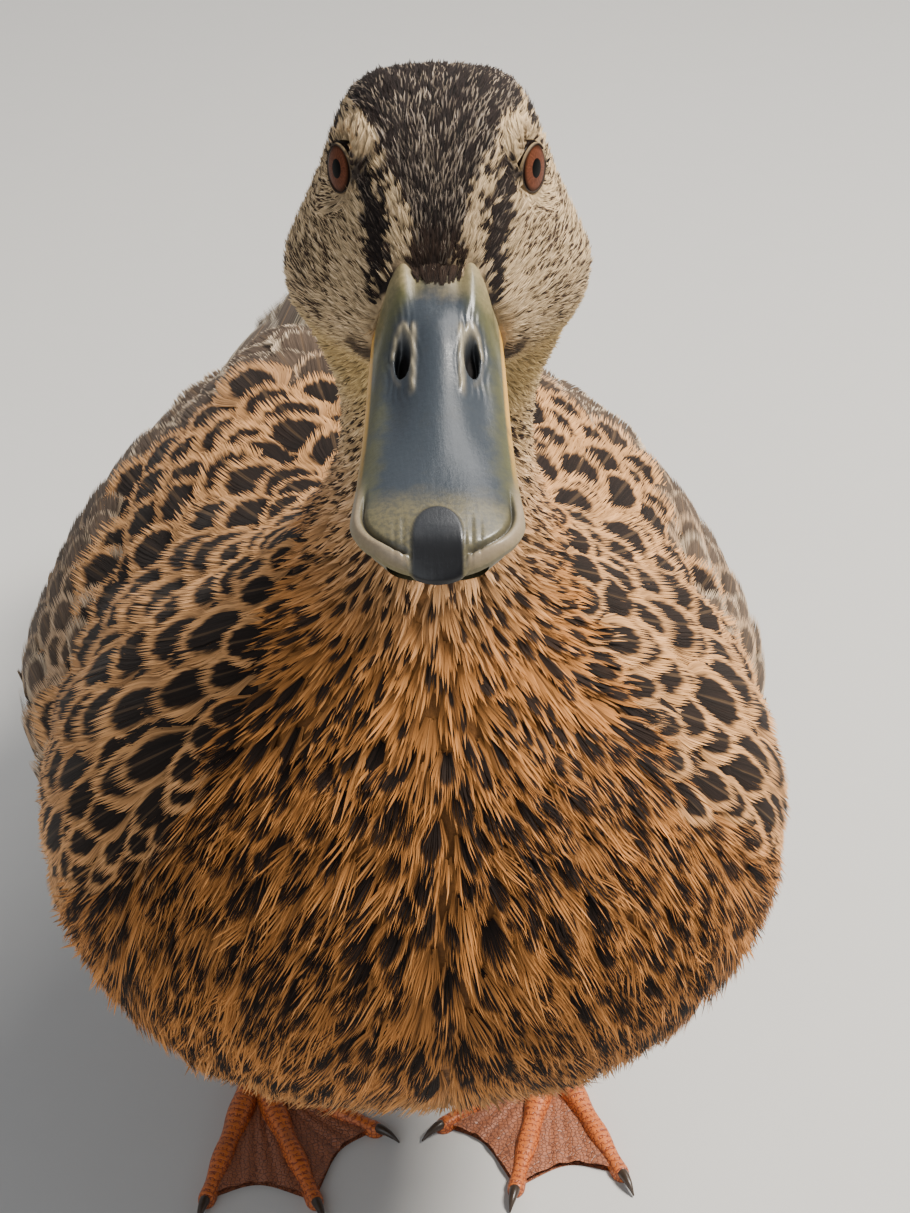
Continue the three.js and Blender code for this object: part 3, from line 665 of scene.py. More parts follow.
class Skin:
    """The bird's skin: one surface under the coat, with the lie of the coat at every point of it."""

    def __init__(self, voxel):
        self.owner = self.cad_surface()
        mesh = self.joined(voxel)
        self.v = self.read(mesh.vertices, "co", 3)
        mesh.calc_loop_triangles()
        self.t = self.read(mesh.loop_triangles, "vertices", 3, np.int32)
        self.quads = self.read(mesh.polygons, "vertices", 4, np.int32)
        edges = self.read(mesh.edges, "vertices", 2, np.int32)
        bpy.data.meshes.remove(mesh)
        self.ends = np.concatenate([edges, edges[:, ::-1]])
        self.degree = np.bincount(self.ends[:, 0], minlength=len(self.v))[:, None]
        self.soften(6, 0.5)
        body = 1 - smooth(self.v[:, 2] / MM, 225, 262)
        self.soften(26, 0.5 * body[:, None])
        self.n = self.normals()
        self.settle()
        self.n = self.normals()
        tongue, quads = tongue_bed()
        bed = np.concatenate([quads[:, :3], quads[:, [0, 2, 3]]]) + len(self.v)
        self.tree = BVHTree.FromPolygons(
            np.concatenate([self.v, tongue]).tolist(), np.concatenate([self.t, bed]).tolist()
        )
        self.reach = self.distances()
        self.flow = self.lie()
        self.area = np.linalg.norm(facings(self.v, self.t), axis=1) / 2
        self.node = self.nodes_at(self.v)

    @staticmethod
    def read(items, key, width, kind=np.float32):
        values = np.zeros(len(items) * width, kind)
        items.foreach_get(key, values)
        return values.reshape(-1, width).astype(np.float64 if kind == np.float32 else kind)

    def cad_surface(self):
        """A search tree of the flesh solids, and which solid each triangle belongs to."""
        points, faces, owners = [], [], []
        for index, name in enumerate(FLESH):
            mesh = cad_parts[name].data
            mesh.calc_loop_triangles()
            faces.append(self.read(mesh.loop_triangles, "vertices", 3, np.int32) + sum(map(len, points)))
            points.append(self.read(mesh.vertices, "co", 3))
            owners.append(np.full(len(faces[-1]), index))
        tree = BVHTree.FromPolygons(np.concatenate(points).tolist(), np.concatenate(faces).tolist())
        return tree, np.concatenate(owners)

    def nodes_at(self, points):
        tree, owners = self.owner
        return np.array([owners[tree.find_nearest(Vector(p))[2]] for p in points])

    def joined(self, voxel):
        """The flesh solids and the eyeballs, a little swollen so that they meet, as one even mesh."""
        points, faces, count = [], [], 0
        for name in FLESH + ["eye_left", "eye_right"]:
            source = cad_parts[name].data
            source.calc_loop_triangles()
            v = self.read(source.vertices, "co", 3)
            t = self.read(source.loop_triangles, "vertices", 3, np.int32)
            whole, index = np.unique(np.round(v, 6), axis=0, return_inverse=True)
            t = index.reshape(-1)[t]
            facing = facings(whole, t)
            out = np.zeros_like(whole)
            for corner in range(3):
                np.add.at(out, t[:, corner], facing)
            grow = -0.0006 if name.startswith("eye") else 0.0007
            points.append(whole + unit(out) * grow)
            faces.append(t + count)
            count += len(whole)
        mesh = bpy.data.meshes.new("skin_source")
        mesh.from_pydata(np.concatenate(points).tolist(), [], np.concatenate(faces).tolist())
        source = bpy.data.objects.new("skin_source", mesh)
        bpy.context.scene.collection.objects.link(source)
        remesh = source.modifiers.new("even", "REMESH")
        remesh.mode = "VOXEL"
        remesh.voxel_size = voxel
        graph = bpy.context.evaluated_depsgraph_get()
        even = bpy.data.meshes.new_from_object(source.evaluated_get(graph))
        bpy.data.objects.remove(source)
        bpy.data.meshes.remove(mesh)
        return even

    def average(self, values):
        here, there = self.ends.T
        sums = [np.bincount(here, column[there], len(self.v)) for column in values.T]
        return np.stack(sums, 1) / self.degree

    def soften(self, times, share):
        for _ in range(times):
            self.v = self.v + (self.average(self.v) - self.v) * share

    def at_vertices(self, vectors):
        """The sum, at each vertex, of the vectors of the triangles round it, as unit vectors."""
        return unit(np.stack([
            sum(np.bincount(self.t[:, c], vectors[:, k], len(self.v)) for c in range(3)) for k in range(3)
        ], 1))

    def normals(self):
        return self.at_vertices(facings(self.v, self.t))

    def settle(self):
        """Sinks the surface by how deep the coat over it is."""
        head = HEAD.measure(self.v)
        z = self.v[:, 2] / MM
        deep = np.interp(z, [200, 235, 262], [COAT_DEPTH, 2.8, 2.0])
        on_head = smooth(z, 262, 272)
        face = np.interp(head[:, 0], [-30, -5, 12, 24], [2.0, 1.5, 1.0, 0.5])
        deep = deep * (1 - on_head) + face * on_head
        deep = deep * np.interp(z, [45, 60], [0.5, 1.0])
        self.v = self.v - self.n * (deep * MM + 0.0006)[:, None]
        self.soften(3, 0.4)
        head = HEAD.measure(self.v)
        for side in SIDES.values():
            out, far, angle = from_eye(head, side)
            over = smooth(angle, EYE_OPENING - 0.06, EYE_OPENING + 0.04)
            level = (EYE_RADIUS - 0.8) + 1.1 * over
            near = (far < EYE_RADIUS + 4) & (angle < 1.7) & (out[:, 1] * side > -3)
            want = np.where(angle > EYE_OPENING + 0.04, np.maximum(far, level), np.minimum(far, level))
            want = np.where(near, want, far)
            head = eye_centre(side) + out * (want / far)[:, None]
        self.v = HEAD.place(head)

    def distances(self):
        """Distance of every point from the bill's root along the skin."""
        head = HEAD.measure(self.v)
        start = np.nonzero((head[:, 0] > 18.5) & (self.v[:, 2] > 0.25))[0]
        far = np.full(len(self.v), np.inf)
        near = [[] for _ in range(len(self.v))]
        gaps = np.linalg.norm(self.v[self.ends[:, 0]] - self.v[self.ends[:, 1]], axis=1)
        for (a, b), gap in zip(self.ends.tolist(), gaps.tolist()):
            near[a].append((b, gap))
        queue = []
        for index in start.tolist():
            far[index] = 0.0
            queue.append((0.0, index))
        heapq.heapify(queue)
        while queue:
            here, index = heapq.heappop(queue)
            if here > far[index]:
                continue
            for other, gap in near[index]:
                if here + gap < far[other]:
                    far[other] = here + gap
                    heapq.heappush(queue, (here + gap, other))
        far[~np.isfinite(far)] = far[np.isfinite(far)].max()
        field = far[:, None]
        for _ in range(14):
            field = field + (self.average(field) - field) * 0.6
        return field[:, 0]

    def lie(self):
        """Which way the coat lies: away from the bill, aside round the eyes and swept back on the body."""
        corners = self.v[self.t]
        facing = facings(self.v, self.t)
        twice = np.maximum(np.linalg.norm(facing, axis=1, keepdims=True), 1e-12)
        normal = facing / twice
        slope = np.zeros_like(normal)
        for corner in range(3):
            side = corners[:, (corner + 2) % 3] - corners[:, (corner + 1) % 3]
            slope += self.reach[self.t[:, corner]][:, None] * np.cross(normal, side) / twice
        flow = self.at_vertices(slope)
        for _ in range(8):
            flow = unit(flow + self.average(flow))
        z = self.v[:, 2] / MM
        back = np.array([0.0, 1.0, -0.12])
        swept = 0.55 * smooth(self.v[:, 1] / MM, -110, -20) * (z < 225)
        flow = unit(flow * (1 - swept[:, None]) + back * swept[:, None])
        head = HEAD.measure(self.v)
        for side in SIDES.values():
            opening = eye_centre(side) + gaze(side) * 5.6
            away = head - opening
            gap = np.linalg.norm(away, axis=1)
            push = 1.5 * (1 - smooth(gap, 4.5, 9.5))[:, None]
            flow = unit(flow + push * (unit(away) @ HEAD.axes))
        flow -= self.n * (flow * self.n).sum(1, keepdims=True)
        return unit(flow)

    def scatter(self, keep, spacing, seed, crowd=5.0):
        """Points on the skin no nearer to each other than spacing, where keep says so.
        keep and spacing take the array of vertex places and give one value for each."""
        wanted = keep(self.v)
        gap = spacing(self.v)
        weight = self.area * wanted[self.t].mean(1) / gap[self.t].mean(1) ** 2
        count = int(weight.sum() * crowd)
        chance = np.random.default_rng(seed)
        face = chance.choice(len(weight), count, p=weight / weight.sum())
        a, b = np.sqrt(chance.random(count)), chance.random(count)
        share = np.stack([1 - a, a * (1 - b), a * b], 1)[:, :, None]
        ring = self.t[face]
        place = (self.v[ring] * share).sum(1)
        radius = (gap[ring][:, :, None] * share).sum(1)[:, 0]
        tree = search_tree(place)
        alive = np.ones(count, bool)
        for index, p in enumerate(place.tolist()):
            if alive[index]:
                for _, other, _ in tree.find_range(p, float(radius[index])):
                    if other > index:
                        alive[other] = False
        kept = np.nonzero(alive)[0]
        ring, share = ring[kept], share[kept]
        pick = lambda field: (field[ring] * share).sum(1)
        return {
            "p": place[kept],
            "n": unit(pick(self.n)),
            "f": unit(pick(self.flow)),
            "reach": pick(self.reach[:, None])[:, 0],
            "gap": radius[kept],
            "node": self.node[ring[:, 0]],
        }


# ---- Markings --------------------------------------------------------------------------------------------

# The head's pattern, against the distance ahead of the eyes in millimetres: half the dark cap's width and the
# height it comes down to, the eye stripe's middle and half its height, and the share of flecked feathers.
CAP_HALF = (
    [-36, -28, -20, -10, -1.5, 4.6, 8.2, 11.9, 14.6, 17.4, 19.3, 21, 31],
    [11.5, 12.8, 13.4, 13.0, 11.2, 9.0, 7.4, 5.8, 4.6, 3.8, 3.5, 3.7, 4.0],
)
CAP_LOW = ([-36, -20, 10, 31], [-14, -11, -9, -13])
STRIPE_AT = (
    [-36, -5, 3, 7, 10, 12, 16.6, 19.6, 21.2, 24],
    [0.6, 0.4, 1.2, 1.9, 1.5, 0.1, -3.5, -7.0, -9.4, -14.0],
)
STRIPE_HALF = ([-36, -20, -5, 5, 10, 16.6, 19.6, 21.5], [3.6, 2.5, 1.9, 1.7, 1.9, 1.8, 1.6, 1.1])
CAP_FLECKS = ([-30, -14, 4, 12, 18, 21], [0.30, 0.26, 0.44, 0.58, 0.42, 0.05])
STRIPE_FLECKS = ([-10, 4, 10, 20], [0.2, 0.55, 0.35, 0.12])
PATTERN_BLUR = 0.8  # half the width, in millimetres, over which the cap and the stripe fade out


def look_of(at, seed):
    return markings(at["p"], np.random.default_rng(seed))


def markings(points, chance):
    """The coat's colours at points of the skin: ground and mark colours, the mark's size and its ring."""
    c = bpy.context.scene.duck_colours
    count = len(points)
    x, y, z = (points / MM).T
    a, s, b = HEAD.measure(points).T
    s = np.abs(s)
    random = chance.random((count, 4))
    wobble = (random[:, 0] - 0.5)

    # trunk and breast
    front = 1 - smooth(y, -105, -40)
    low = 1 - smooth(z, 95, 140)
    above = smooth(into_back(points), -2, 2) * smooth(z, 130, 138)
    # the lower breast, belly and rear flanks turn to the belly colour: their own olive buff, darkened in part
    # as painted shade under the body
    ground = blend(c.rust, c.belly, np.clip(low * 0.9 + (1 - front) * 0.35, 0, 1))
    ground = blend(ground, c.fringe, above)
    mark = np.broadcast_to(np.array(c.blotch), (count, 3))
    mark = blend(mark, c.mantle, above)
    size = 0.66 + 0.20 * wobble
    size = size * (1 - 0.25 * low) * np.where(random[:, 1] < 0.10 + 0.15 * low, 0.0, 1.0)
    flank = smooth(np.abs(x), 45, 65) * smooth(y, -70, -20) * (1 - above)
    size = size * (1 - flank) + (0.70 + 0.1 * wobble) * flank
    size = size * (1 - above) + (0.66 + 0.16 * wobble) * above
    ring = 0.45 * flank * (random[:, 2] > 0.75)
    rear = above * smooth(y + 10 * wobble, 12, 30)
    ground = blend(ground, c.pale, rear * 0.85)
    mark = blend(mark, c.covert, rear * 0.85)
    size = size + 0.16 * rear

    # neck: fine streaks, darker behind
    on_neck = smooth(z, 190, 232) * (1 - above)
    behind = smooth(y, -118, -96)
    neck_ground = blend(c.rust, c.face, smooth(z, 215, 262) * 0.75)
    neck_ground = blend(neck_ground, c.throat, smooth(z, 240, 268) * (1 - behind) * 0.5)
    ground = blend(ground, neck_ground, on_neck)
    plain = random[:, 1] < 0.3 - 0.2 * behind
    neck_size = (0.44 + 0.22 * wobble) * (1 + 0.35 * behind) * np.where(plain, 0, 1)
    size = size * (1 - on_neck) + neck_size * on_neck
    mark = blend(mark, c.cheek_streak, on_neck * 0.6)
    ring = ring * (1 - on_neck)

    # head
    on_head = smooth(z + 0.18 * (y + 115), 255, 268)
    within = lambda distance, half: 1 - smooth(distance, half - PATTERN_BLUR, half + PATTERN_BLUR)
    cap_low = np.interp(a, *CAP_LOW)
    cap = within(s + wobble * 1.5, np.interp(a, *CAP_HALF)) * smooth(b, cap_low, cap_low + 4)
    off_stripe = np.abs(b - np.interp(a, *STRIPE_AT)) + wobble * 2.2
    stripe = within(off_stripe, np.interp(a, *STRIPE_HALF)) * smooth(s, 5.6, 6.6)
    stripe = stripe * smooth(a, -38, -30) * smooth(b, -14.5, -11.5)
    throat = smooth(-b, 17, 25) * (1 - smooth(-a, 2, 16))
    gape = (1 - smooth(np.hypot(a - 20.2, b + 20.3) + wobble, 1.2, 2.6)) * smooth(s, 6, 8)
    face = blend(c.face, c.throat, throat)
    face = blend(face, np.array(c.throat) * 0.85, smooth(-a, 4, 30) * 0.55)
    dark = np.clip(np.maximum(cap, stripe), 0, 1)
    is_dark = dark > 0.5
    cheek = smooth(-b, 2, 7) * (1 - throat) * (1 - 0.85 * smooth(a + 0.9 * (13 - s), 9, 14))
    streaked = random[:, 2] < 0.10 + 0.60 * cheek + 0.2 * smooth(-a, 8, 26)
    head_size = (0.56 + 0.44 * wobble) * streaked * (1 - throat)
    in_cap = cap >= stripe
    flecked = random[:, 1] < np.where(in_cap, np.interp(a, *CAP_FLECKS), np.interp(a, *STRIPE_FLECKS))
    head_size = np.where(is_dark, np.where(flecked, 0.58, 0.95), head_size)
    head_mark = blend(c.cheek_streak, np.array(c.crown), dark * (1 - 0.6 * smooth(a, 17, 20) * cap))
    dark_edge = np.array(c.crown) * np.interp(a, [14, 20], [2.2, 1.2])[:, None]
    fleck = flecked * (0.40 + 0.55 * random[:, 3]) * np.where(in_cap, 1, 0.5)
    head_ground = np.where(is_dark[:, None], blend(dark_edge, c.fleck, fleck), face)
    head_ground = blend(head_ground, np.array(c.cheek_streak), gape * 0.9)
    ground = blend(ground, head_ground, on_head)
    mark = blend(mark, head_mark, on_head)
    size = size * (1 - on_head) + head_size * on_head

    tone = 0.86 + 0.28 * random[:, 3][:, None]
    return {"ground": np.clip(ground * tone, 0, 1), "mark": mark, "size": size, "ring": ring}


def wing_markings(look, points, chance):
    """Turns the coat's colours to the wing's: grey-brown coverts with paler edges."""
    c = bpy.context.scene.duck_colours
    random = chance.random(len(points))
    front = 1 - smooth(points[:, 1] / MM, -30, 15)
    look["ground"] = blend(c.fringe, c.pale, 0.45 + 0.4 * random) * (0.75 + 0.1 * front)[:, None]
    look["mark"] = np.broadcast_to(np.array(c.covert), look["mark"].shape) * (0.7 + 0.4 * random)[:, None]
    look["size"] = 0.82 - 0.20 * front + 0.06 * random
    look["ring"] = np.zeros(len(points))
    return look


def rump_markings(look, points, normals, chance):
    """Dark upper coverts with buff bars, pale under coverts with brown drops."""
    c = bpy.context.scene.duck_colours
    random = chance.random(len(points))
    upper = np.maximum(smooth(normals[:, 2], -0.1, 0.3), smooth(points[:, 2] / MM, 128, 134))
    look["ground"] = blend(blend(c.pale, c.belly, 0.5), c.fringe, upper * 0.8)
    look["mark"] = np.broadcast_to(np.array(c.mantle), look["mark"].shape)
    look["size"] = 0.42 + 0.34 * upper + 0.1 * random
    look["ring"] = 0.7 * upper
    return look


# ---- Feathers --------------------------------------------------------------------------------------------

OVERLAP_SOFT, OVERLAP_FIRM = 1.3, 1.25  # how far strands overlap, as a share of the gap between them
BLADE_EXTRA = (0.8, 0.6, 0.75)  # a blade's shaft line, paler edge and painted shade at its root
MAP_PATCH = 0.003  # a feather's share of the bake map


def walk(skin, roots, flows, lengths, steps):
    """Each feather's midline laid along the skin: places and normals at steps + 1 points."""
    places, normals = [roots], []
    here, way = roots, flows
    tree = skin.tree
    found = [tree.find_nearest(Vector(p)) for p in here.tolist()]
    normals.append(np.array([f[1] for f in found]))
    for _ in range(steps):
        ahead = here + way * (lengths / steps)[:, None]
        found = [tree.find_nearest(Vector(p)) for p in ahead.tolist()]
        near = np.array([f[0] for f in found])
        normal = np.array([f[1] for f in found])
        gap = np.linalg.norm(near - ahead, axis=1, keepdims=True)
        loose = np.clip(gap / (0.30 * lengths[:, None]) - 0.3, 0, 1)
        place = near * (1 - loose) + ahead * loose
        way = unit(place - here)
        places.append(place)
        normals.append(normal)
        here = place
    places = np.stack(places, 1)
    normals = np.stack(normals, 1)
    for k in range(1, steps + 1):
        normals[:, k] = unit(normals[:, k - 1] * 0.6 + normals[:, k] * 0.4)
    return places, normals


def strand_strips(centre, edge, half, t, u, overlap, chance):
    """Strands as tapering strips that end in a point, with each vertex's place along and across its vane.
    centre is feathers by strands by rows, edge points to a strand's side and half is half its width."""
    count, strands, rows = centre.shape[:3]
    left, right = centre - edge * half[..., None], centre + edge * half[..., None]
    body = np.stack([left[:, :, :-1], right[:, :, :-1]], 3).reshape(count, strands, -1, 3)
    vertices = np.concatenate([body, centre[:, :, -1:]], 2).reshape(-1, 3)
    per, last, total = 2 * rows - 1, 2 * (rows - 2), count * strands
    base = (np.arange(total) * per)[:, None]
    up = np.arange(rows - 2) * 2
    quads = np.stack([base + up, base + up + 1, base + up + 3, base + up + 2], -1).reshape(-1, 4)
    u = u * np.ones_like(t)
    beside = u[:, :, :-1, None] + np.array([-1, 1]) * (overlap / strands)
    paired = lambda two, one: np.concatenate([two.reshape(count, strands, -1), one[:, :, -1:]], 2).reshape(-1)
    along, across = paired(np.repeat(t[:, :, :-1], 2, 2), t), paired(beside, u).clip(-1, 1)
    each = lambda values: np.repeat(np.asarray(values), strands * per, axis=0)
    return {
        "vertices": vertices,
        "quads": quads,
        "triangles": np.concatenate([base + last, base + last + 1, base + last + 2], 1),
        "vane": np.stack([
            along, across * 0.5 + 0.5, each(chance.random(count)), np.repeat(chance.random(total), per)
        ], 1),
        "count": count,
        "each": each,
    }


def fan_feathers(skin, at, look, seed, strands, rings, long, wide, lift, cup=0.1, fray=0.12, tip=0.45,
                 curl=0.0, start=0.0, steps=3, turn=0.08, shaft=0.0, wash=0.8, root_shade=0.45, narrow=0.35,
                 ruffle=0.10, thin=1.0, root=1.0):
    """Vanes made of fine strands that fan out from each root. long, wide and lift are for each feather, in
    metres: its length, half its width and how high its tip stands. start is where the visible vane begins,
    fray, turn and ruffle make it uneven, wash is its pale edge and root_shade darkens its root as painted
    shade."""
    chance = np.random.default_rng(seed)
    count = len(at["p"])
    long = np.broadcast_to(long, count) * (1 + 0.12 * chance.standard_normal(count)).clip(0.7, 1.35)
    wide = np.broadcast_to(wide, count) * (1 + 0.08 * chance.standard_normal(count)).clip(0.75, 1.3)
    lift = np.broadcast_to(lift, count) * (1 + 0.12 * chance.standard_normal(count)).clip(0.7, 1.4)
    swing = turn * chance.standard_normal(count)
    side = unit(np.cross(at["n"], at["f"]))
    flow = unit(at["f"] * np.cos(swing)[:, None] + side * np.sin(swing)[:, None])
    places, normals = walk(skin, at["p"], flow, long, steps)

    u = np.linspace(-1, 1, strands)[None, :, None]
    u = u + chance.uniform(-0.35, 0.35, (count, strands, 1)) / strands
    tau = np.linspace(0, 1, rings + 1)
    tau = (start + (1 - start) * tau)[None, None, :]
    end = 1 - tip * np.abs(u) ** 2.2
    end = end * (1 - fray * chance.random((count, strands, 1)))
    t = tau * end
    seat = np.clip(t * steps, 0, steps - 1e-6)
    low = seat.astype(int)
    share = (seat - low)[..., None]
    row = np.arange(count)[:, None, None]
    spine = places[row, low] * (1 - share) + places[row, low + 1] * share
    normal = unit(normals[row, low] * (1 - share) + normals[row, low + 1] * share)
    ahead = unit(places[row, low + 1] - places[row, low])
    across = unit(np.cross(normal, ahead))
    width = wide[:, None, None]
    spread = narrow + (1 - narrow) * smooth(t, 0.0, 0.62)
    offset = u * spread * width
    offset = offset + width * ruffle * chance.standard_normal((count, strands, 1)) * t ** 2
    rise = lift[:, None, None] * (t ** 1.15 + curl * t ** 4)
    rise = rise - cup * width * u * u * spread ** 2
    uneven = min(0.05, 0.5 * ruffle) * lift[:, None, None]
    rise = rise + uneven * chance.standard_normal((count, strands, 1)) * t
    centre = spine + across * offset[..., None] + normal * rise[..., None]
    taper = np.ones(rings + 1)
    taper[-2] = 0.8
    taper[0] = root
    half = (OVERLAP_SOFT * thin * width / strands) * taper[None, None, :] * (0.75 + 0.35 * spread)
    twist = 1.4 * ruffle * chance.standard_normal((count, strands, 1, 1))
    edge = unit(across + normal * twist)
    batch = strand_strips(centre, edge, half, t, u, OVERLAP_SOFT, chance)
    each = batch["each"]
    return {
        **batch,
        "ground": each(np.column_stack([look["ground"], look["size"]])),
        "mark": each(np.column_stack([look["mark"], look["ring"]])),
        "extra": each(np.tile([shaft, wash, root_shade], (count, 1))),
        "root": each(at["p"]),
        "reach": each(at["reach"]),
    }


def unwrap(points, reach):
    """Each root's place on the skin cut open along the belly: round the body, and down it from the bill."""
    x, y, z = (points / MM).T
    centre_z = np.interp(y, [-160, -130, -90, 0, 120, 200], [290, 235, 150, 130, 130, 135])
    over_neck = smooth(z, 205, 235)
    turn_body = np.arctan2(x, z - centre_z)
    turn_neck = np.arctan2(x, y + 112)
    turn = turn_body * (1 - over_neck) + turn_neck * over_neck
    u = turn / (2 * math.pi) + 0.5
    v = reach / max(reach.max(), 1e-6)
    low, high = v.min(), v.max()
    return np.stack([0.02 + 0.95 * u, 0.02 + 0.95 * (v - low) / max(high - low, 1e-6)], 1)


def coat_piece(name, batches, material, slot="plumage", cells=False):
    """One coat piece from batches of feathers. With cells, each feather has its own cell of the map."""
    keys = ("vertices", "vane", "ground", "mark", "extra", "root", "reach")
    gathered = {key: np.concatenate([b[key] for b in batches]) for key in keys}
    quads, triangles, count = [], [], 0
    for b in batches:
        quads.append(b["quads"] + count)
        triangles.append(b["triangles"] + count)
        count += len(b["vertices"])
    faces_of = np.concatenate(quads), np.concatenate(triangles)
    piece = make_piece(name, gathered["vertices"], *faces_of, material, slot)
    for key in ("vane", "ground", "mark", "extra"):
        add_colour(piece, key, gathered[key])
    seat = unwrap(gathered["root"], gathered["reach"])
    inside = np.stack([gathered["vane"][:, 1], gathered["vane"][:, 0].clip(0, 1)], 1)
    if cells:
        _, index = np.unique(gathered["root"], axis=0, return_inverse=True)
        index = index.reshape(-1)
        across = math.ceil(math.sqrt(index.max() + 1))
        add_map(piece, (np.stack([index % across, index // across], 1) + 0.04 + 0.92 * inside) / across)
    else:
        add_map(piece, seat + (inside - 0.5) * MAP_PATCH)
    faces = 2 * sum(map(len, quads)) + sum(map(len, triangles))
    print(f"{name}: {faces} triangles")
    return piece


def past_lid(head, side):
    """How far, in millimetres, points in head axes are past the lid's edge."""
    _, far, angle = from_eye(head, side)
    return np.maximum((angle - EYE_OPENING) * EYE_RADIUS, (far - EYE_RADIUS) * 1.2) - 0.24


def clear_of_eyes(at):
    head = HEAD.measure(at["p"])
    return np.minimum(past_lid(head, 1), past_lid(head, -1)) > 0


def clear_of_bill(at):
    """True where a root isn't under the bill's horn."""
    a, s, b = HEAD.measure(at["p"]).T
    t = (a - BILL_ROOT[0]) / BILL_LENGTH
    top, _ = bill_top(t, np.clip(s, -9.4, 9.4))
    inside = (a > 15) & (np.abs(s) < bill_half(np.maximum(t, 0)) * 0.99)
    return ~(inside & (b < top + 0.05) & (b > BILL_ROOT[1] - 11))


def tongue_roots(gap, seed):
    """Roots on the feathered point over the bill's ridge."""
    chance = np.random.default_rng(seed)
    count = int(7.4 * (TONGUE[1] - TONGUE[0]) / (gap / MM) ** 2 * 1.2)
    ahead = chance.uniform(TONGUE[0], TONGUE[1] - 0.1, count)
    s = chance.uniform(-1, 1, count) * tongue_half(ahead)
    height = lambda a, b: bill_top((a - BILL_ROOT[0]) / BILL_LENGTH, b)[0]
    up = height(ahead, s)
    slope, tilt = (height(ahead + 0.2, s) - up) / 0.2, (height(ahead, s + 0.2) - up) / 0.2
    normal = unit(np.stack([-slope, -tilt, np.ones(count)], 1))
    back = unit(np.stack([-np.ones(count), 0.10 * s, -slope], 1))
    return {
        "p": HEAD.place(np.stack([ahead, s, up + 0.1], 1)), "n": normal @ HEAD.axes, "f": back @ HEAD.axes,
        "reach": np.zeros(count), "gap": np.full(count, gap), "node": np.zeros(count, int),
    }


def joined(first, second):
    return {key: np.concatenate([first[key], second[key]]) for key in first}


def swept(at, way, share):
    """The lie of the coat turned towards way, along the skin."""
    lie = unit(at["f"] * share + np.array(way))
    return unit(lie - at["n"] * (lie * at["n"]).sum(1, keepdims=True))


def picked(at, keep):
    return {key: value[keep] for key, value in at.items()}


STATE = {}


def skin():
    return STATE["skin"]


def evened(skin, at, stretch=1.35, rounds=16):
    """Roots pushed apart until they lie in even rows. stretch brings them closer along the coat's lie."""
    p, gap = at["p"], at["gap"]
    near = search_tree(skin.v)
    nearest = lambda points: np.array([near.find(point)[1] for point in points.tolist()])
    want = 0.60 * (gap[:, None] + gap[None, :])
    for _ in range(rounds):
        seat = nearest(p)
        flow, normal = skin.flow[seat], skin.n[seat]
        side = np.cross(normal, flow)
        between = p[:, None] - p[None, :]
        along = (between * flow[:, None]).sum(2)
        across = (between * side[:, None]).sum(2)
        up = (between * normal[:, None]).sum(2)
        apart = np.sqrt((along * stretch) ** 2 + across**2 + up**2) + 1e-9
        push = 0.22 * np.clip(want - apart, 0, None) / apart
        np.fill_diagonal(push, 0)
        moved = p + flow * (push * along).sum(1)[:, None] + side * (push * across).sum(1)[:, None]
        p = np.array([skin.tree.find_nearest(Vector(point))[0] for point in moved.tolist()])
    seat = nearest(p)
    return {
        "p": p, "n": skin.n[seat], "f": skin.flow[seat], "reach": skin.reach[seat], "gap": gap,
        "node": skin.node[seat],
    }


def is_node(at, *names):
    return np.isin(at["node"], [FLESH.index(n) for n in names])


# ---- Operators -------------------------------------------------------------------------------------------


class DUCK_OT_skin(bpy.types.Operator):
    """Make the skin that replaces the flesh solids"""

    bl_idname = "duck.skin"
    bl_label = "Skin"

    def execute(self, context):
        coat = context.scene.duck_coat
        STATE["skin"] = made = Skin(coat.voxel)
        STATE["plumage"] = plumage_material("plumage")
        piece = make_piece("skin", made.v, made.quads, [], skin_material(), "plumage")
        look = markings(made.v, np.random.default_rng(coat.seed))
        marked = (look["size"] > 0.1) * (0.2 + 0.5 * look["size"])
        add_colour(piece, "marking", blend(look["ground"], look["mark"], np.clip(marked, 0, 1)) * 0.8)
        add_map(piece, unwrap(made.v, made.reach))
        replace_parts(piece, *FLESH)
        print(f"skin: {len(made.t)} triangles")
        return {"FINISHED"}


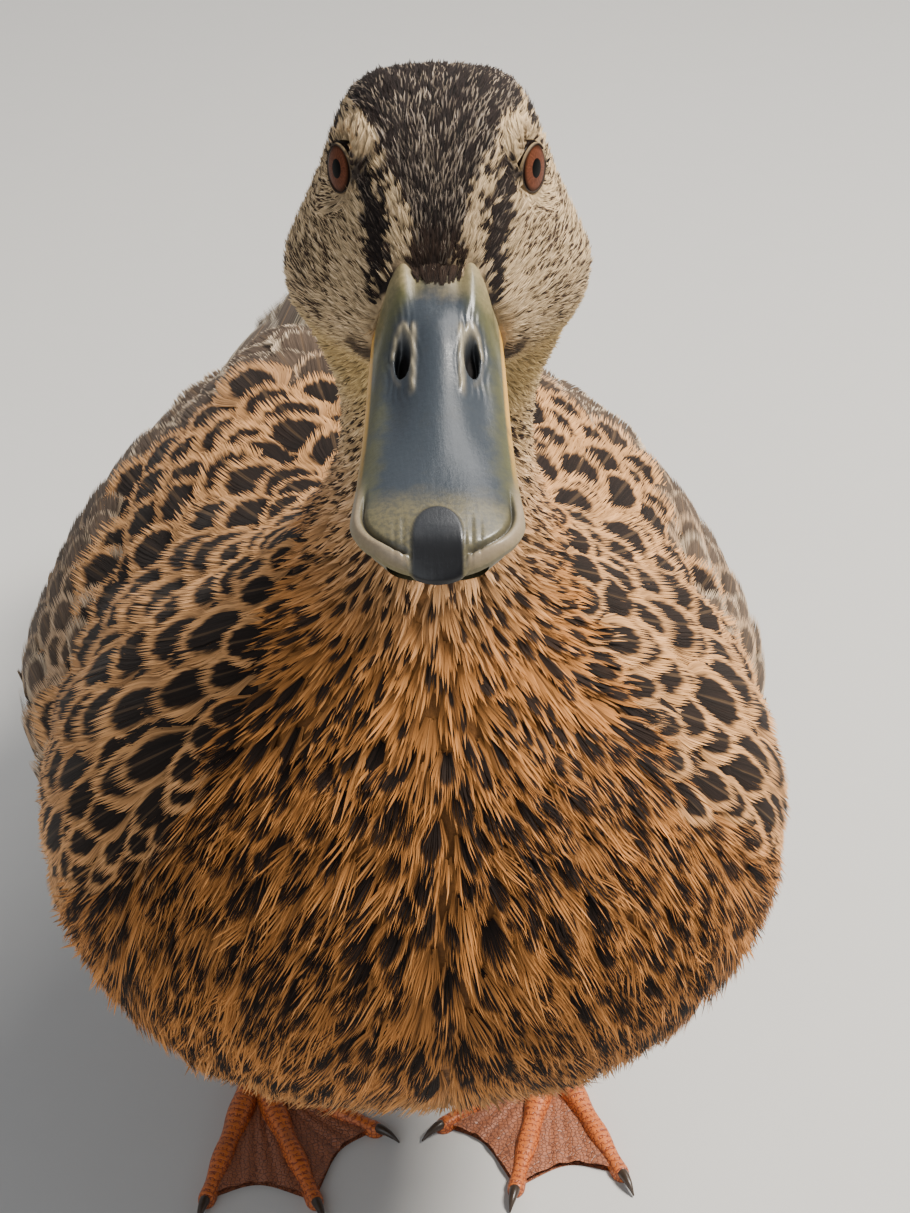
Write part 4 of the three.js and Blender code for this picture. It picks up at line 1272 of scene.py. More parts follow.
class DUCK_OT_head_coat(bpy.types.Operator):
    """Cover the head with small tufts"""

    bl_idname = "duck.head_coat"
    bl_label = "Head feathers"

    def execute(self, context):
        coat = context.scene.duck_coat

        def spacing(points):
            gaps = [coat.crown, coat.crown * 0.92, coat.face]
            gap = np.interp(HEAD.measure(points)[:, 0], [-20, 4, 18], gaps)
            return np.maximum(gap, np.interp(points[:, 2] / MM, [250, 272], [coat.crown * 1.5, 0]))

        def keep(points):
            z = points[:, 2] / MM + 0.25 * (points[:, 1] / MM + 115)
            return (z > 256) * (HEAD.measure(points)[:, 0] < 22.8)

        at = skin().scatter(keep, spacing, coat.seed + 1)
        at = picked(at, clear_of_eyes(at) & clear_of_bill(at))
        at = joined(at, tongue_roots(coat.face, coat.seed + 8))
        look = look_of(at, coat.seed + 2)
        head = HEAD.measure(at["p"])
        a = head[:, 0]
        long = np.interp(a, [-32, -8, 8, 16, 20, 22, 31], [5.4, 4.4, 3.2, 2.5, 2.6, 3.4, 3.2]) * MM
        beyond = np.minimum(*(past_lid(head, side) for side in SIDES.values()))
        long = np.minimum(long, np.interp(beyond, [0, 1.5, 6], [1.1, 2.0, 9.0]) * MM)
        lift = np.interp(a, [-30, -5, 12, 20, 23, 30], [1.7, 1.25, 0.75, 0.5, 0.55, 0.55]) * MM
        lift = np.minimum(lift, np.interp(beyond, [0, 5], [0.30, 3.0]) * MM)
        wide = np.interp(a, [-30, 0, 19, 23], [0.64, 0.50, 0.40, 0.30]) * MM
        for index, (name, part, rings) in enumerate((
            ("coat_face", a > 6, 2), ("coat_crown", (a <= 6) & (a > -14), 3), ("coat_nape", a <= -14, 3)
        )):
            vanes = fan_feathers(
                skin(), picked(at, part), picked(look, part), coat.seed + 3 + index, strands=5, rings=rings,
                long=long[part], wide=wide[part], lift=lift[part], cup=0.2, fray=0.34, tip=0.3, turn=0.13,
                steps=2, root_shade=0.5, narrow=0.5, wash=0.5, ruffle=0.14, root=0.35,
            )
            coat_piece(name, [vanes], STATE["plumage"])
        return {"FINISHED"}


class DUCK_OT_neck_coat(bpy.types.Operator):
    """Cover the neck with fine, hair-like feathers"""

    bl_idname = "duck.neck_coat"
    bl_label = "Neck feathers"

    def execute(self, context):
        coat = context.scene.duck_coat

        def spacing(points):
            gaps = [coat.neck * 1.25, coat.neck * 0.85, coat.crown * 1.5]
            return np.interp(points[:, 2] / MM, [195, 225, 262], gaps)

        def keep(points):
            y, z = points[:, 1] / MM, points[:, 2] / MM
            return (z + 0.25 * (y + 115) <= 257) * (z + 0.45 * (y + 120) > 194) * ~on_back(points) * (z > 150)

        at = skin().scatter(keep, spacing, coat.seed + 11)
        look = look_of(at, coat.seed + 12)
        gap, z = at["gap"], at["p"][:, 2] / MM
        for index, (name, part) in enumerate((("coat_neck_upper", z > 232), ("coat_neck_lower", z <= 232))):
            vanes = fan_feathers(
                skin(), picked(at, part), picked(look, part), coat.seed + 13 + index, strands=9 + 2 * index,
                rings=3, long=gap[part] * 4.6, wide=gap[part] * 0.95,
                lift=np.interp(z[part], [195, 262], [3.4, 1.8]) * MM, cup=0.15, fray=0.42, tip=0.35,
                turn=0.12, steps=3, start=0.15, root_shade=0.5, wash=0.9, ruffle=0.12,
            )
            coat_piece(name, [vanes], STATE["plumage"])
        return {"FINISHED"}


# Where the back's big feathers begin: the height plus y at each distance from her middle, in millimetres.
BACK_BORDER = ([0, 10, 21, 27, 36, 42, 53, 66, 90], [137, 134, 117, 88, 71, 55, 46, 42, 39])


def into_back(points):
    """How far, in millimetres, points are inside the region of the back's big scalloped feathers."""
    x, y, z = (points / MM).T
    border = np.interp(np.abs(x), *BACK_BORDER)
    return np.minimum((z + y - border) * 0.75, 228 - z)


def on_back(points):
    return (into_back(points) > 0) & (points[:, 2] > 0.136) & (points[:, 1] < 0.116)


class DUCK_OT_breast_coat(bpy.types.Operator):
    """Cover the breast, belly, flanks and thighs"""

    bl_idname = "duck.breast_coat"
    bl_label = "Breast and belly feathers"

    def execute(self, context):
        coat = context.scene.duck_coat

        def spacing(points):
            x, y, z = (points / MM).T
            gaps = [coat.belly, coat.breast, coat.breast * 0.86]
            gap = np.interp(z + 0.3 * (y + 120), [80, 120, 185], gaps)
            gap = gap + (coat.belly - gap) * smooth(y, -90, -20)
            side = smooth(np.abs(x), 45, 66) * smooth(y, -75, -10)
            return gap + (coat.flank - gap) * side

        def keep(points):
            _, y, z = (points / MM).T
            return (z + 0.45 * (y + 120) <= 195) * ~on_back(points) * (y < 104) * (z > 50)

        at = skin().scatter(keep, spacing, coat.seed + 21)
        at = picked(at, ~is_node(at, "thigh_left", "thigh_right", "wing_left", "wing_right"))
        look = look_of(at, coat.seed + 22)
        hair_at = skin().scatter(
            lambda p: keep(p) * (p[:, 1] < -0.05),
            lambda p: np.full(len(p), coat.breast * 0.95), coat.seed + 24,
        )
        hair = look_of(hair_at, coat.seed + 25)
        hair["size"] = hair["size"] * (np.random.default_rng(coat.seed + 26).random(len(hair["size"])) < 0.4)
        x, y = at["p"][:, 0], at["p"][:, 1] / MM
        gap = at["gap"]
        for index, (name, part, strands, rings) in enumerate((
            ("coat_breast_left", (y < -62) & (x >= 0), 43, 3),
            ("coat_breast_right", (y < -62) & (x < 0), 43, 3),
            ("coat_flank_left", (y >= -62) & (x >= 0), 33, 4),
            ("coat_flank_right", (y >= -62) & (x < 0), 33, 4),
        )):
            batches = [fan_feathers(
                skin(), picked(at, part), picked(look, part), coat.seed + 30 + index, strands=strands,
                rings=rings, long=gap[part] * 3.5, wide=gap[part] * 0.95, lift=4.2 * MM, cup=0.12,
                fray=0.34 if index < 2 else 0.2, tip=0.42, turn=0.10, steps=3, start=0.2, root_shade=0.5, wash=1.0,
            )]
            if index < 2:
                beside = (hair_at["p"][:, 0] >= 0) == (index == 0)
                batches.append(fan_feathers(
                    skin(), picked(hair_at, beside), picked(hair, beside), coat.seed + 36 + index, strands=13,
                    rings=3, long=0.0150, wide=0.0026, lift=0.0050, fray=0.5, tip=0.3, turn=0.16, start=0.3,
                    thin=0.6, root_shade=0.5, wash=1.0, ruffle=0.2,
                ))
            coat_piece(name, batches, STATE["plumage"])
        thigh_at = skin().scatter(
            lambda p: (np.abs(p[:, 0]) > 0.02) * (p[:, 2] < 0.066) * (p[:, 1] > -0.03) * (p[:, 1] < 0.05),
            lambda p: np.full(len(p), 0.0022), coat.seed + 41,
        )
        thigh_at = picked(thigh_at, is_node(thigh_at, "thigh_left", "thigh_right"))
        thigh_look = look_of(thigh_at, coat.seed + 42)
        thigh_at["f"] = unit(thigh_at["f"] * 0.5 + np.array([0, 0.15, -1.0]))
        vanes = fan_feathers(
            skin(), thigh_at, thigh_look, coat.seed + 43, strands=7, rings=3, long=0.0075, wide=0.0022,
            lift=0.0012, fray=0.3, steps=2,
        )
        coat_piece("coat_thighs", [vanes], STATE["plumage"])
        return {"FINISHED"}


class DUCK_OT_back_coat(bpy.types.Operator):
    """Lay the scalloped feathers of the mantle and the shoulders"""

    bl_idname = "duck.back_coat"
    bl_label = "Back feathers"

    def execute(self, context):
        coat = context.scene.duck_coat

        def spacing(points):
            return np.interp(into_back(points), [0, 8, 30], [0.36, 0.60, 1.0]) * coat.mantle

        def keep(points):
            return (into_back(points) > -7) * (points[:, 2] > 0.125) * (points[:, 1] < 0.122)

        at = evened(skin(), skin().scatter(keep, spacing, coat.seed + 51, crowd=9.0))
        at = picked(at, on_back(at["p"]) & ~is_node(at, "wing_left", "wing_right"))
        look = look_of(at, coat.seed + 52)
        gap = at["gap"]
        small = gap < 0.0078
        long = gap * 2.8 * np.interp(at["p"][:, 1] / MM, [50, 85], [1.0, 0.6])
        parts = (("coat_mantle", small, 31), ("coat_shoulders", ~small, 45))
        for index, (name, part, strands) in enumerate(parts):
            vanes = fan_feathers(
                skin(), picked(at, part), picked(look, part), coat.seed + 53 + index, strands=strands,
                rings=5, long=long[part], wide=gap[part],
                lift=np.interp(gap[part] / MM, [3.5, 10], [3.4, 4.0]) * MM, cup=0.16, fray=0.09, tip=0.38,
                turn=0.06, steps=4, start=0.1, shaft=0.3, root_shade=0.55, curl=0.08, wash=0.34, ruffle=0.02,
            )
            batches = [vanes]
            if name == "coat_shoulders":
                batches.append(self.underlayer(coat))
            coat_piece(name, batches, STATE["plumage"], "mottled")
        return {"FINISHED"}

    def underlayer(self, coat):
        """Short, low feathers that close the gaps between the big ones."""
        at = skin().scatter(
            lambda p: (into_back(p) > 0) * (p[:, 2] > 0.130) * (p[:, 1] < 0.124),
            lambda p: np.full(len(p), 0.0052), coat.seed + 57,
        )
        look = look_of(at, coat.seed + 58)
        look["size"] = look["size"] * 1.15
        return fan_feathers(
            skin(), at, look, coat.seed + 59, strands=15, rings=3, long=0.0150, wide=0.0046, lift=0.0014,
            fray=0.1, tip=0.4, turn=0.06, steps=3, start=0.05, root_shade=0.7, wash=0.34, ruffle=0.02,
        )


class DUCK_OT_wing_coat(bpy.types.Operator):
    """Lay the coverts of the folded wings"""

    bl_idname = "duck.wing_coat"
    bl_label = "Wing coverts"

    def execute(self, context):
        coat = context.scene.duck_coat
        chance = np.random.default_rng(coat.seed + 62)

        def spacing(points):
            gaps = [coat.covert * 0.7, coat.covert, coat.covert * 1.15]
            return np.interp(points[:, 1] / MM, [-80, 20, 110], gaps)

        def keep(points):
            x, y, z = (points / MM).T
            return (np.abs(x) > 28) * (z > 100) * (z < 185) * (y > -90) * (y < 130)

        at = skin().scatter(keep, spacing, coat.seed + 61, crowd=8.0)
        at = evened(skin(), picked(at, is_node(at, "wing_left", "wing_right")))
        at["f"] = swept(at, [0, 1.0, -0.10], 0.3)
        look = wing_markings(markings(at["p"], chance), at["p"], chance)
        gap = at["gap"]
        vanes = fan_feathers(
            skin(), at, look, coat.seed + 63, strands=29, rings=4, long=gap * 2.9, wide=gap * 0.92,
            lift=3.0 * MM, cup=0.14, fray=0.05, tip=0.38, turn=0.05, steps=3, start=0.1,
            shaft=0.4, root_shade=0.6, wash=0.28, ruffle=0.015,
        )
        coat_piece("coat_wings", [vanes], STATE["plumage"], "mottled")
        return {"FINISHED"}


class DUCK_OT_rump_coat(bpy.types.Operator):
    """Lay the tail coverts over the rump"""

    bl_idname = "duck.rump_coat"
    bl_label = "Rump feathers"

    def execute(self, context):
        coat = context.scene.duck_coat
        chance = np.random.default_rng(coat.seed + 72)

        def keep(points):
            y = points[:, 1] / MM
            return (y > 96) * (y < 150)

        at = skin().scatter(keep, lambda p: np.full(len(p), 0.0052), coat.seed + 71)
        at = picked(at, ~is_node(at, "wing_left", "wing_right"))
        at["f"] = swept(at, [0, 1.0, -0.05], 0.4)
        look = rump_markings(markings(at["p"], chance), at["p"], at["n"], chance)
        y = at["p"][:, 1] / MM
        vanes = fan_feathers(
            skin(), at, look, coat.seed + 73, strands=23, rings=4,
            long=np.interp(y, [96, 140], [20, 27]) * MM, wide=0.0060, lift=0.0036, cup=0.14, fray=0.10,
            tip=0.45, turn=0.08, steps=4, start=0.1, root_shade=0.55, ruffle=0.06,
        )
        rows = []
        for s in np.linspace(-1, 1, 7):
            root = np.array([9 * s, 113, 143 - 2 * abs(s)])
            end = np.array([13 * s, 157 - 7 * abs(s), 138 - 2 * abs(s)])
            rows.append((root * MM, end * MM, np.array([0.25 * s, 0, 1.0]), 6.0 * MM, 1.2 * MM))
        c = context.scene.duck_colours
        blades = blade_feathers(rows, coat.seed + 76, strands=27, rings=7, tip=0.35)
        long_coverts = dress(blades, c.fringe, c.mantle, 0.80, ring=0.6)
        coat_piece("coat_rump", [vanes, long_coverts], STATE["plumage"], "mottled")
        return {"FINISHED"}


def blade_feathers(rows, seed, strands, rings, tip, fray=0.03):
    """Long, firm feathers, each from its root to its tip: rows of (root, tip, outward, half width, bow)."""
    chance = np.random.default_rng(seed)
    root, end, out, wide, bow = (np.array(column, float) for column in zip(*rows))
    count = len(root)
    ahead = unit(end - root)
    across = unit(np.cross(out, ahead))
    normal = unit(np.cross(ahead, across))
    long = np.linalg.norm(end - root, axis=1)[:, None, None]
    u = np.linspace(-1, 1, strands)[None, :, None] * np.ones((count, 1, 1))
    tau = np.linspace(0, 1, rings + 1)[None, None, :]
    reach = (1 - tip * np.abs(u) ** 2.6) * (1 - fray * chance.random((count, strands, 1)))
    t = tau * reach
    width = (wide[:, None, None]) * (0.3 + 0.7 * smooth(t, 0, 0.35))
    offset = u * width
    rise = bow[:, None, None] * 4 * t * (1 - t) - 0.12 * width * u * u
    expand = lambda v: v[:, None, None, :]
    centre = expand(root) + expand(ahead) * (t * long)[..., None] + expand(across) * offset[..., None]
    centre = centre + expand(normal) * rise[..., None]
    half = (OVERLAP_FIRM * width / strands) * np.concatenate([np.ones(rings), [0.5]])[None, None, :]
    batch = strand_strips(centre, expand(across), half, t, u, OVERLAP_FIRM, chance)
    each = batch["each"]
    return {**batch, "root": each(root), "reach": each(root[:, 1] + 0.3)}


def dress(batch, ground, mark, size, ring=0.0):
    """Gives a batch of blades its colours, the same on every one of them."""
    count, each = batch["count"], batch["each"]
    line = lambda colour_, last: each(np.tile(np.append(np.array(colour_), last), (count, 1)))
    batch["ground"] = line(ground, size)
    batch["mark"] = line(mark, ring)
    batch["extra"] = each(np.tile(BLADE_EXTRA, (count, 1)))
    return batch


class DUCK_OT_flight_feathers(bpy.types.Operator):
    """Lay the long feathers of the folded wings"""

    bl_idname = "duck.flight_feathers"
    bl_label = "Flight feathers"

    def execute(self, context):
        c = context.scene.duck_colours
        tertials, primaries, bright = [], [], []
        for side in SIDES.values():
            for k in range(5):
                s = k / 4
                root = np.array([side * (52 - 10 * s), 22 + 10 * s, 158 + 7 * s]) * MM
                end = np.array([side * (38 - 12 * s), 108 + 22 * s, 147 + 3 * s]) * MM
                out = np.array([side * (0.75 - 0.25 * s), 0.1, 0.66 + 0.3 * s])
                tertials.append((root, end, out, (9.5 - 0.6 * k) * MM, 2.6 * MM))
            for k in range(8):
                s = k / 7
                root = np.array([side * (38 - 3 * s), 70 + 6 * s, 146 - 3 * s + 0.5 * k]) * MM
                end = np.array([side * (14 - 5 * s), 132 + 46 * s, 148.5 + 1.0 * s]) * MM
                out = np.array([side * 0.45, 0.0, 0.9])
                primaries.append((root, end, out, (5.8 - 0.25 * k) * MM, 1.8 * MM))
            for k in range(10):
                s = k / 9
                root = np.array([side * (80.5 - 13 * s), 4 + 36 * s, 128 + 9 * s]) * MM
                end = np.array([side * (76 - 26 * s), 62 + 40 * s, 124 + 12 * s]) * MM
                out = np.array([side * 0.93, 0.25, 0.28])
                bright.append((root, end, out, 6.2 * MM, 2.2 * MM))
        pale, covert, flight = (np.array(colour_) for colour_ in (c.pale, c.covert, c.flight))
        brown = blade_feathers(tertials, seed=91, strands=41, rings=9, tip=0.24)
        brown = dress(brown, pale * 0.7, covert * 0.85, 0.93)
        dusky = blade_feathers(primaries, seed=92, strands=27, rings=10, tip=0.30)
        dusky = dress(dusky, pale * 0.45, flight * 0.7, 0.95)
        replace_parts(coat_piece("primaries", [brown, dusky], STATE["plumage"], "flight", cells=True),
                    "primaries_left", "primaries_right")
        blue = dress(blade_feathers(bright, seed=93, strands=27, rings=8, tip=0.16), pale, flight, 0.9)
        coat_piece("speculum", [blue], speculum_material(), "flight", cells=True)
        return {"FINISHED"}


class DUCK_OT_tail(bpy.types.Operator):
    """Lay the tail feathers, the middle pair on top"""

    bl_idname = "duck.tail"
    bl_label = "Tail"

    def execute(self, context):
        c = context.scene.duck_colours
        rows, tip_y = [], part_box("tail")[1].y / MM - TAIL_INSET
        for k in range(-9, 10):
            s = k / 9
            angle = math.radians(11) * s
            root = np.array([15 * s, 112, 136.5 - 3.4 * abs(s)]) * MM
            reach = (tip_y - 112) - 21 * abs(s) ** 1.6
            way = np.array([math.sin(angle) * reach, math.cos(angle) * reach, -5.5 - 3.2 * abs(s)])
            end = root + way * MM
            rows.append((root, end, np.array([0.18 * s, 0, 1.0]), (6.4 - 0.9 * abs(s)) * MM, 0.8 * MM))
        batch = blade_feathers(rows, seed=94, strands=31, rings=10, tip=0.22)
        batch = dress(batch, np.array(c.pale) * 0.5, np.array(c.flight) * 0.7, 0.93, ring=0.3)
        piece = coat_piece("tail_feathers", [batch], STATE["plumage"], "flight", cells=True)
        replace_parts(piece, "tail")
        return {"FINISHED"}


class DUCK_OT_bill(bpy.types.Operator):
    """Model the bill with its nostrils, lip and nail"""

    bl_idname = "duck.bill"
    bl_label = "Bill"

    def execute(self, context):
        material = bill_material()
        rows, columns = 190, 121
        t = (1 - (1 - np.linspace(0, 1, rows)) ** 1.7)[:, None] * 1.09 - 0.09
        v = np.sin(np.linspace(-1, 1, columns) * math.pi / 2)[None, :] + 0 * t
        half, edge = bill_half(t), bill_edge(t)
        ahead = BILL_ROOT[0] + t * BILL_LENGTH
        height, marks = bill_top(t + 0 * v, v * half)
        hook = np.sqrt(np.maximum(0, 1 - (v * half / 4.0) ** 2)) * smooth(t, 0.90, 1.0)
        ahead = ahead + 0.6 * hook
        edge = edge - 0.6 * hook
        top = np.stack([ahead + 0 * v, v * half, np.maximum(height - 1.1 * hook, edge + 0.02)], -1)
        inset = np.minimum(0.5, half)
        under = np.stack([ahead + 0 * v, v * (half - inset), edge + 0.5 * (1 - v * v) + 0.2], -1)
        upper = Parts()
        upper.add(top, along=t + 0 * v, across=v, **marks)
        blank = dict(lip=0.0, nail=0.0, pit=0.0, pale=0.0)
        upper.add(under[:, ::-1], along=t + 0 * v, across=0.98, **{**blank, "nail": marks["nail"][:, ::-1]})
        for column, turned in ((0, False), (-1, True)):
            strip = np.stack([under[:, column], top[:, column]], 1)
            strip = strip[:, ::-1] if turned else strip
            upper.add(strip, along=t + np.zeros(2), across=0.98, **{**blank, "nail": marks["nail"][:, :2]})
        upper.add(np.stack([top[0], under[0]], 0), along=0.0, across=0.0, **blank)
        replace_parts(upper.piece("bill_upper_fine", material, "bill", in_head=True), "bill_upper")

        rows, columns = 70, 41
        t = (1 - (1 - np.linspace(0, 1, rows)) ** 1.7)[:, None]
        v = np.sin(np.linspace(-1, 1, columns) * math.pi / 2)[None, :] * np.ones_like(t)
        half = bill_half(t * LOWER_BILL) * 0.86
        deep = 4.6 * (1 - 0.45 * t) * np.sqrt(np.maximum(0, 1 - np.abs(v) ** 3.0))
        split_ = np.exp(-((v / 0.42) ** 2)) * (1 - smooth(t, 0.5, 0.9)) * 0.9
        edge = bill_edge(t * LOWER_BILL) - 0.25
        ahead = BILL_ROOT[0] + t * LOWER_BILL * BILL_LENGTH
        lower_top = np.stack([ahead + 0 * v, v * half, edge + 0 * v], -1)
        lower_under = np.stack([ahead + 0 * v, v * half, edge - deep + split_], -1)
        lower = Parts()
        lower.add(lower_top, along=t + 0 * v, across=0.9, **blank)
        lower.add(lower_under[:, ::-1], along=t + 0 * v, across=0.8, **blank)
        lower.add(np.stack([lower_top[0], lower_under[0]], 0), along=0.0, across=0.9, **blank)
        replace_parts(lower.piece("bill_lower_fine", material, "bill", in_head=True), "bill_lower")
        return {"FINISHED"}


class DUCK_OT_eyes(bpy.types.Operator):
    """Model the eyes and their lids"""

    bl_idname = "duck.eyes"
    bl_label = "Eyes"

    def execute(self, context):
        wet, lid = eye_material(), lid_material()
        for name, side in SIDES.items():
            look = gaze(side)
            first = unit(np.cross(look, [0, 0, 1.0]))
            second = np.cross(look, first)
            polar = np.radians(np.concatenate([np.linspace(0, 45, 46), np.linspace(48, 180, 34)]))[:, None]
            turn = np.linspace(0, 2 * math.pi, 72, endpoint=False)[None, :]

            def on_ball(angle, spin, radius):
                ring = np.cos(spin)[..., None] * first + np.sin(spin)[..., None] * second
                return eye_centre(side) + radius[..., None] * (
                    np.cos(angle)[..., None] * look + np.sin(angle)[..., None] * ring
                )

            rim = math.cos(EYE_OPENING) * EYE_RADIUS
            dome = (rim + 0.34 * (1 - (polar / EYE_OPENING) ** 2)) / np.cos(np.minimum(polar, 1.2))
            bulge = np.where(polar < EYE_OPENING, np.minimum(dome, EYE_RADIUS), EYE_RADIUS - 0.05)
            bulge = bulge - 1.8 * smooth(np.degrees(polar), 35, 52) + 0 * turn
            ball = Parts()
            ball.add(on_ball(polar + 0 * turn, turn + 0 * polar, bulge), wrap=True,
                     out=np.degrees(polar) + 0 * turn, turn=turn / (2 * math.pi) + 0 * polar)
            piece = ball.piece("eyeball_" + name, wet, "eye", in_head=True)
            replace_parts(piece, "eye_" + name)

            profile = np.array([
                (0.0, -0.30), (-0.5, 0.0), (-0.2, 0.12), (0.4, 0.18),
                (1.1, 0.18), (2.0, 0.12), (3.6, -0.06), (8.0, -0.6),
            ])
            corner = 1 + 0.10 * np.cos(turn - (0 if side > 0 else math.pi)) ** 2 - 0.05 * np.sin(turn) ** 2
            folds = 0.035 * np.sin(turn * 37)
            angle = EYE_OPENING * corner + np.radians(profile[:, :1])
            radius = EYE_RADIUS + profile[:, 1:] + folds * (profile[:, 1:] > 0.3)
            lids = Parts()
            outer = np.interp(profile[:, :1], [0.4, 2.6], [0, 1]) + 0 * turn
            lids.add(on_ball(angle, turn + 0 * angle, radius), wrap=True, outer=outer)
            lids.piece("eyelid_" + name, lid, "plumage", in_head=True)
        return {"FINISHED"}


def tube(points, radii, around):
    """A round, tapering limb along points: its grid, and the angle of each of its columns."""
    points, radii = np.asarray(points, float), np.asarray(radii, float)
    ahead = unit(np.gradient(points, axis=0))
    side = unit(np.cross(ahead, [0.0, 0.05, 1.0]))
    up = np.cross(side, ahead)
    turn = np.linspace(0, 2 * math.pi, around, endpoint=False)
    ring = radii[:, None, None] * (
        np.cos(turn)[None, :, None] * side[:, None] + np.sin(turn)[None, :, None] * up[:, None]
    )
    return points[:, None] + ring, turn


class DUCK_OT_feet(bpy.types.Operator):
    """Model the legs, toes, webs and claws"""

    bl_idname = "duck.feet"
    bl_label = "Legs and feet"

    def execute(self, context):
        scaly, horn = foot_material(), claw_material()
        toes = {"inner": (-36, 40), "middle": (0, 50), "outer": (34, 47), "hind": (172, 15)}
        for name, side in SIDES.items():
            low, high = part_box("leg_" + name)
            shift = (low.y + high.y) / 2 / MM - (15 - 13) / 2
            heel = np.array([side * 37, 15 + shift, 51.0])
            ankle = np.array([side * 39, -13 + shift, 8.0])
            root = np.array([side * 39, -15 + shift, 0.0])

            def towards(degrees):
                angle = math.radians(degrees - FOOT_TURN)
                return np.array([side * math.sin(angle), -math.cos(angle), 0.0])

            foot = Parts()
            t = np.linspace(0, 1, 40)
            spine = heel + (ankle - heel) * t[:, None]
            girth = np.interp(t, [0, 0.12, 0.3, 0.75, 0.92, 1], [3.9, 4.0, 3.0, 2.8, 3.5, 3.9])
            grid, turn = tube(spine, girth, 24)
            foot.add(grid * MM, wrap=True, close=(0, -1), along=(t * 19)[:, None] + 0 * turn,
                     across=0 * t[:, None] + np.sin(turn) * 0.9, web=0.0)
            tips = {}
            for toe, (degrees, reach) in toes.items():
                way = towards(degrees)
                t = 1 - (1 - np.linspace(0, 1, 56)) ** 1.5
                knuckles = 0.5 * np.cos(t * 3 * math.pi) ** 2
                blunt = np.sqrt(np.maximum(1 - np.clip((t - 0.93) / 0.07, 0, 1) ** 2, 0.02))
                wide = (np.interp(t, [0, 1], [3.5, 1.8]) + knuckles) * blunt
                high_ = (np.interp(t, [0, 1], [4.5, 2.1]) + knuckles) * blunt
                turn = np.linspace(0, 2 * math.pi, 24, endpoint=False)
                scutes = 1 + 0.035 * np.sin(2 * math.pi * t * reach / SCUTE)[:, None] * (np.sin(turn) > 0.2)
                across = np.array([-way[1], way[0], 0.0])
                sole = np.where(np.sin(turn) > 0, np.abs(np.sin(turn)) ** 0.85, 0.0)
                beside = wide[:, None] * np.sign(np.cos(turn)) * np.abs(np.cos(turn)) ** 0.8
                points = root + way * (t * reach)[:, None, None] + across * beside[..., None]
                points[..., 2] = np.where(np.sin(turn) < -0.05, 0.05, 0.5 + high_[:, None] * sole * scutes)
                foot.add(points * MM, wrap=True, close=(0, -1), along=(t * reach / SCUTE)[:, None] + 0 * turn,
                         across=np.cos(turn) * 0.9 + 0 * t[:, None], web=0.0)
                tips[toe] = (root + way * reach, way)
            for first, second in (("inner", "middle"), ("middle", "outer")):
                (a_deg, a_long), (b_deg, b_long) = toes[first], toes[second]
                r, s = np.linspace(0.06, 1, 30)[:, None], np.linspace(0, 1, 36)[None, :]
                degrees = a_deg + (b_deg - a_deg) * s
                reach = (a_long + (b_long - a_long) * s) * (0.93 - 0.34 * np.sin(math.pi * s) * 0.42)
                angle = np.radians(degrees - FOOT_TURN)
                wave = 0.35 * np.sin(s * 9 * math.pi + r * 3) * np.sin(math.pi * s) * r
                for height, flip in ((1.5, False), (0.1, True)):
                    sheet_ = np.stack([
                        root[0] + side * np.sin(angle) * reach * r,
                        root[1] - np.cos(angle) * reach * r,
                        height + (wave + 0.5 * (1 - np.sin(math.pi * s)) * r if not flip else 0 * wave * r),
                    ], -1)
                    sheet_ = sheet_[:, ::-1] if flip != (side < 0) else sheet_
                    foot.add(sheet_ * MM, along=r * 8 + 0 * s, across=s * 2 - 1 + 0 * r, web=1.0)
            piece = foot.piece("foot_fine_" + name, scaly, "skin")
            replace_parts(piece, "foot_" + name, "leg_" + name)

            claws = Parts()
            for toe, (tip_at, way) in tips.items():
                t = np.linspace(0, 1, 18)
                bend = np.array([[0, 2.0], [3.0, 2.9], [6.6, 0.5]])
                p = (1 - t)[:, None] ** 2 * bend[0] + 2 * (t * (1 - t))[:, None] * bend[1]
                p = p + t[:, None] ** 2 * bend[2]
                spine = tip_at - way * 1.4 + way * p[:, :1] + np.array([0, 0, 1.0]) * p[:, 1:]
                grid, turn = tube(spine, np.interp(t, [0, 0.2, 0.6, 1], [1.35, 1.25, 0.85, 0.2]), 16)
                claws.add(grid * MM, wrap=True, close=(0, -1))
            piece = claws.piece("claws_" + name, horn, "claw")
            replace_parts(piece, *[f"claw_{name}_{toe}" for toe in toes])
        return {"FINISHED"}


FLOOR_HALF = 30.0
WORLD_LIGHT = ((0.93, 0.95, 1.0, 1), 0.34)  # the colour and the strength of the light from all round
LIT = Vector((0, -0.05, 0.17))  # where the lamps point


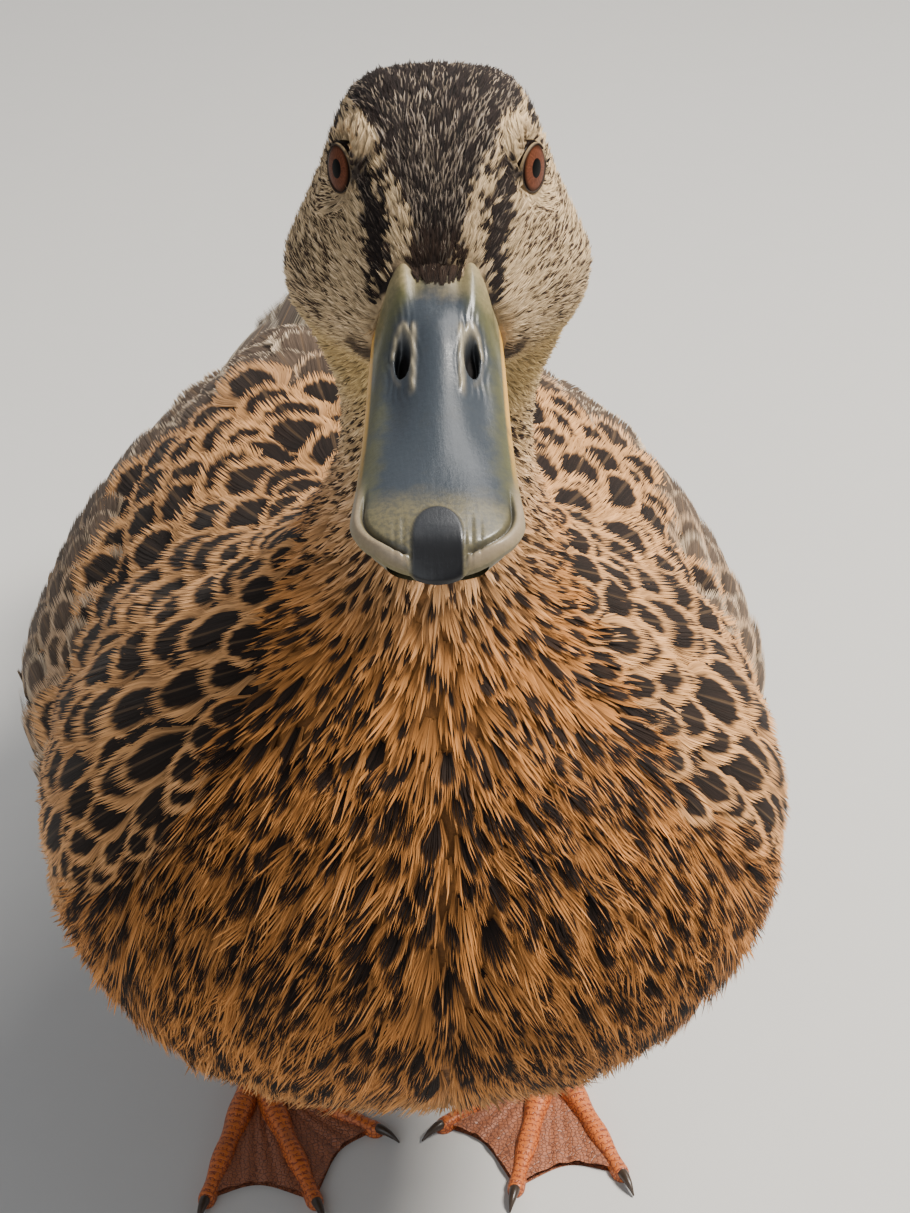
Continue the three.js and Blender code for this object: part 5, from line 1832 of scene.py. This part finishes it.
class DUCK_OT_stage(bpy.types.Operator):
    """Set the floor, the lights and the camera"""

    bl_idname = "duck.stage"
    bl_label = "Stage"

    def execute(self, context):
        stage = context.scene.duck_stage
        mesh = bpy.data.meshes.new("floor")
        corners = [(x * FLOOR_HALF, y * FLOOR_HALF, 0) for x, y in ((-1, -1), (1, -1), (1, 1), (-1, 1))]
        mesh.from_pydata(corners, [], [(0, 1, 2, 3)])
        mesh.materials.append(floor_material())
        floor = bpy.data.objects.new("floor", mesh)
        context.scene.collection.objects.link(floor)
        world = bpy.data.worlds.new("studio")
        world.use_nodes = True
        for key, value in zip(("Color", "Strength"), WORLD_LIGHT):
            world.node_tree.nodes["Background"].inputs[key].default_value = value
        context.scene.world = world
        for name, place, size, power, tint in (
            ("key", (0.80, -0.10, 1.30), 0.40, 44.0, (1.0, 0.95, 0.87)),
            ("fill", (-0.7, -1.2, 0.7), 1.2, 6.0, (0.9, 0.95, 1.0)),
            ("back", (0.50, 0.62, 1.30), 0.60, 7.0, (1.0, 0.98, 0.95)),
        ):
            light = bpy.data.lights.new(name, "AREA")
            light.size, light.energy, light.color = size, power, tint
            lamp = bpy.data.objects.new(name, light)
            lamp.location = place
            lamp.rotation_euler = (LIT - Vector(place)).to_track_quat("-Z", "Y").to_euler()
            context.scene.collection.objects.link(lamp)
        camera = bpy.data.cameras.new("camera")
        camera.sensor_width, camera.lens = 36.0, stage.lens
        camera.clip_start, camera.clip_end = 0.01, 50.0
        viewer = bpy.data.objects.new("camera", camera)
        viewer.location = stage.eye
        ahead = Vector((
            math.sin(stage.turn) * math.cos(stage.tilt), math.cos(stage.turn) * math.cos(stage.tilt),
            -math.sin(stage.tilt),
        ))
        viewer.rotation_euler = ahead.to_track_quat("-Z", "Y").to_euler()
        context.scene.collection.objects.link(viewer)
        context.scene.camera = viewer
        return {"FINISHED"}


STEPS = (
    DUCK_OT_skin, DUCK_OT_head_coat, DUCK_OT_neck_coat, DUCK_OT_breast_coat, DUCK_OT_back_coat,
    DUCK_OT_wing_coat, DUCK_OT_rump_coat, DUCK_OT_flight_feathers, DUCK_OT_tail, DUCK_OT_bill, DUCK_OT_eyes,
    DUCK_OT_feet, DUCK_OT_stage,
)


class DUCK_PT_panel(bpy.types.Panel):
    """The duck's pieces, sizes and colours"""

    bl_idname = "DUCK_PT_panel"
    bl_label = "Duck"
    bl_space_type = "VIEW_3D"
    bl_region_type = "UI"
    bl_category = "Duck"

    def draw(self, context):
        layout = self.layout
        for step in STEPS:
            layout.operator(step.bl_idname)
        for group in (context.scene.duck_coat, context.scene.duck_colours, context.scene.duck_stage):
            box = layout.box()
            for key in group.__annotations__:
                box.prop(group, key)


CLASSES = (DuckCoat, DuckColours, DuckStage, *STEPS, DUCK_PT_panel)


def register():
    for item in CLASSES:
        bpy.utils.register_class(item)
    bpy.types.Scene.duck_coat = bpy.props.PointerProperty(type=DuckCoat)
    bpy.types.Scene.duck_colours = bpy.props.PointerProperty(type=DuckColours)
    bpy.types.Scene.duck_stage = bpy.props.PointerProperty(type=DuckStage)


def unregister():
    for key in ("duck_coat", "duck_colours", "duck_stage"):
        delattr(bpy.types.Scene, key)
    for item in reversed(CLASSES):
        bpy.utils.unregister_class(item)


def main():
    register()
    for step in STEPS:
        group, action = step.bl_idname.split(".")
        getattr(getattr(bpy.ops, group), action)()


if __name__ == "__main__":
    main()
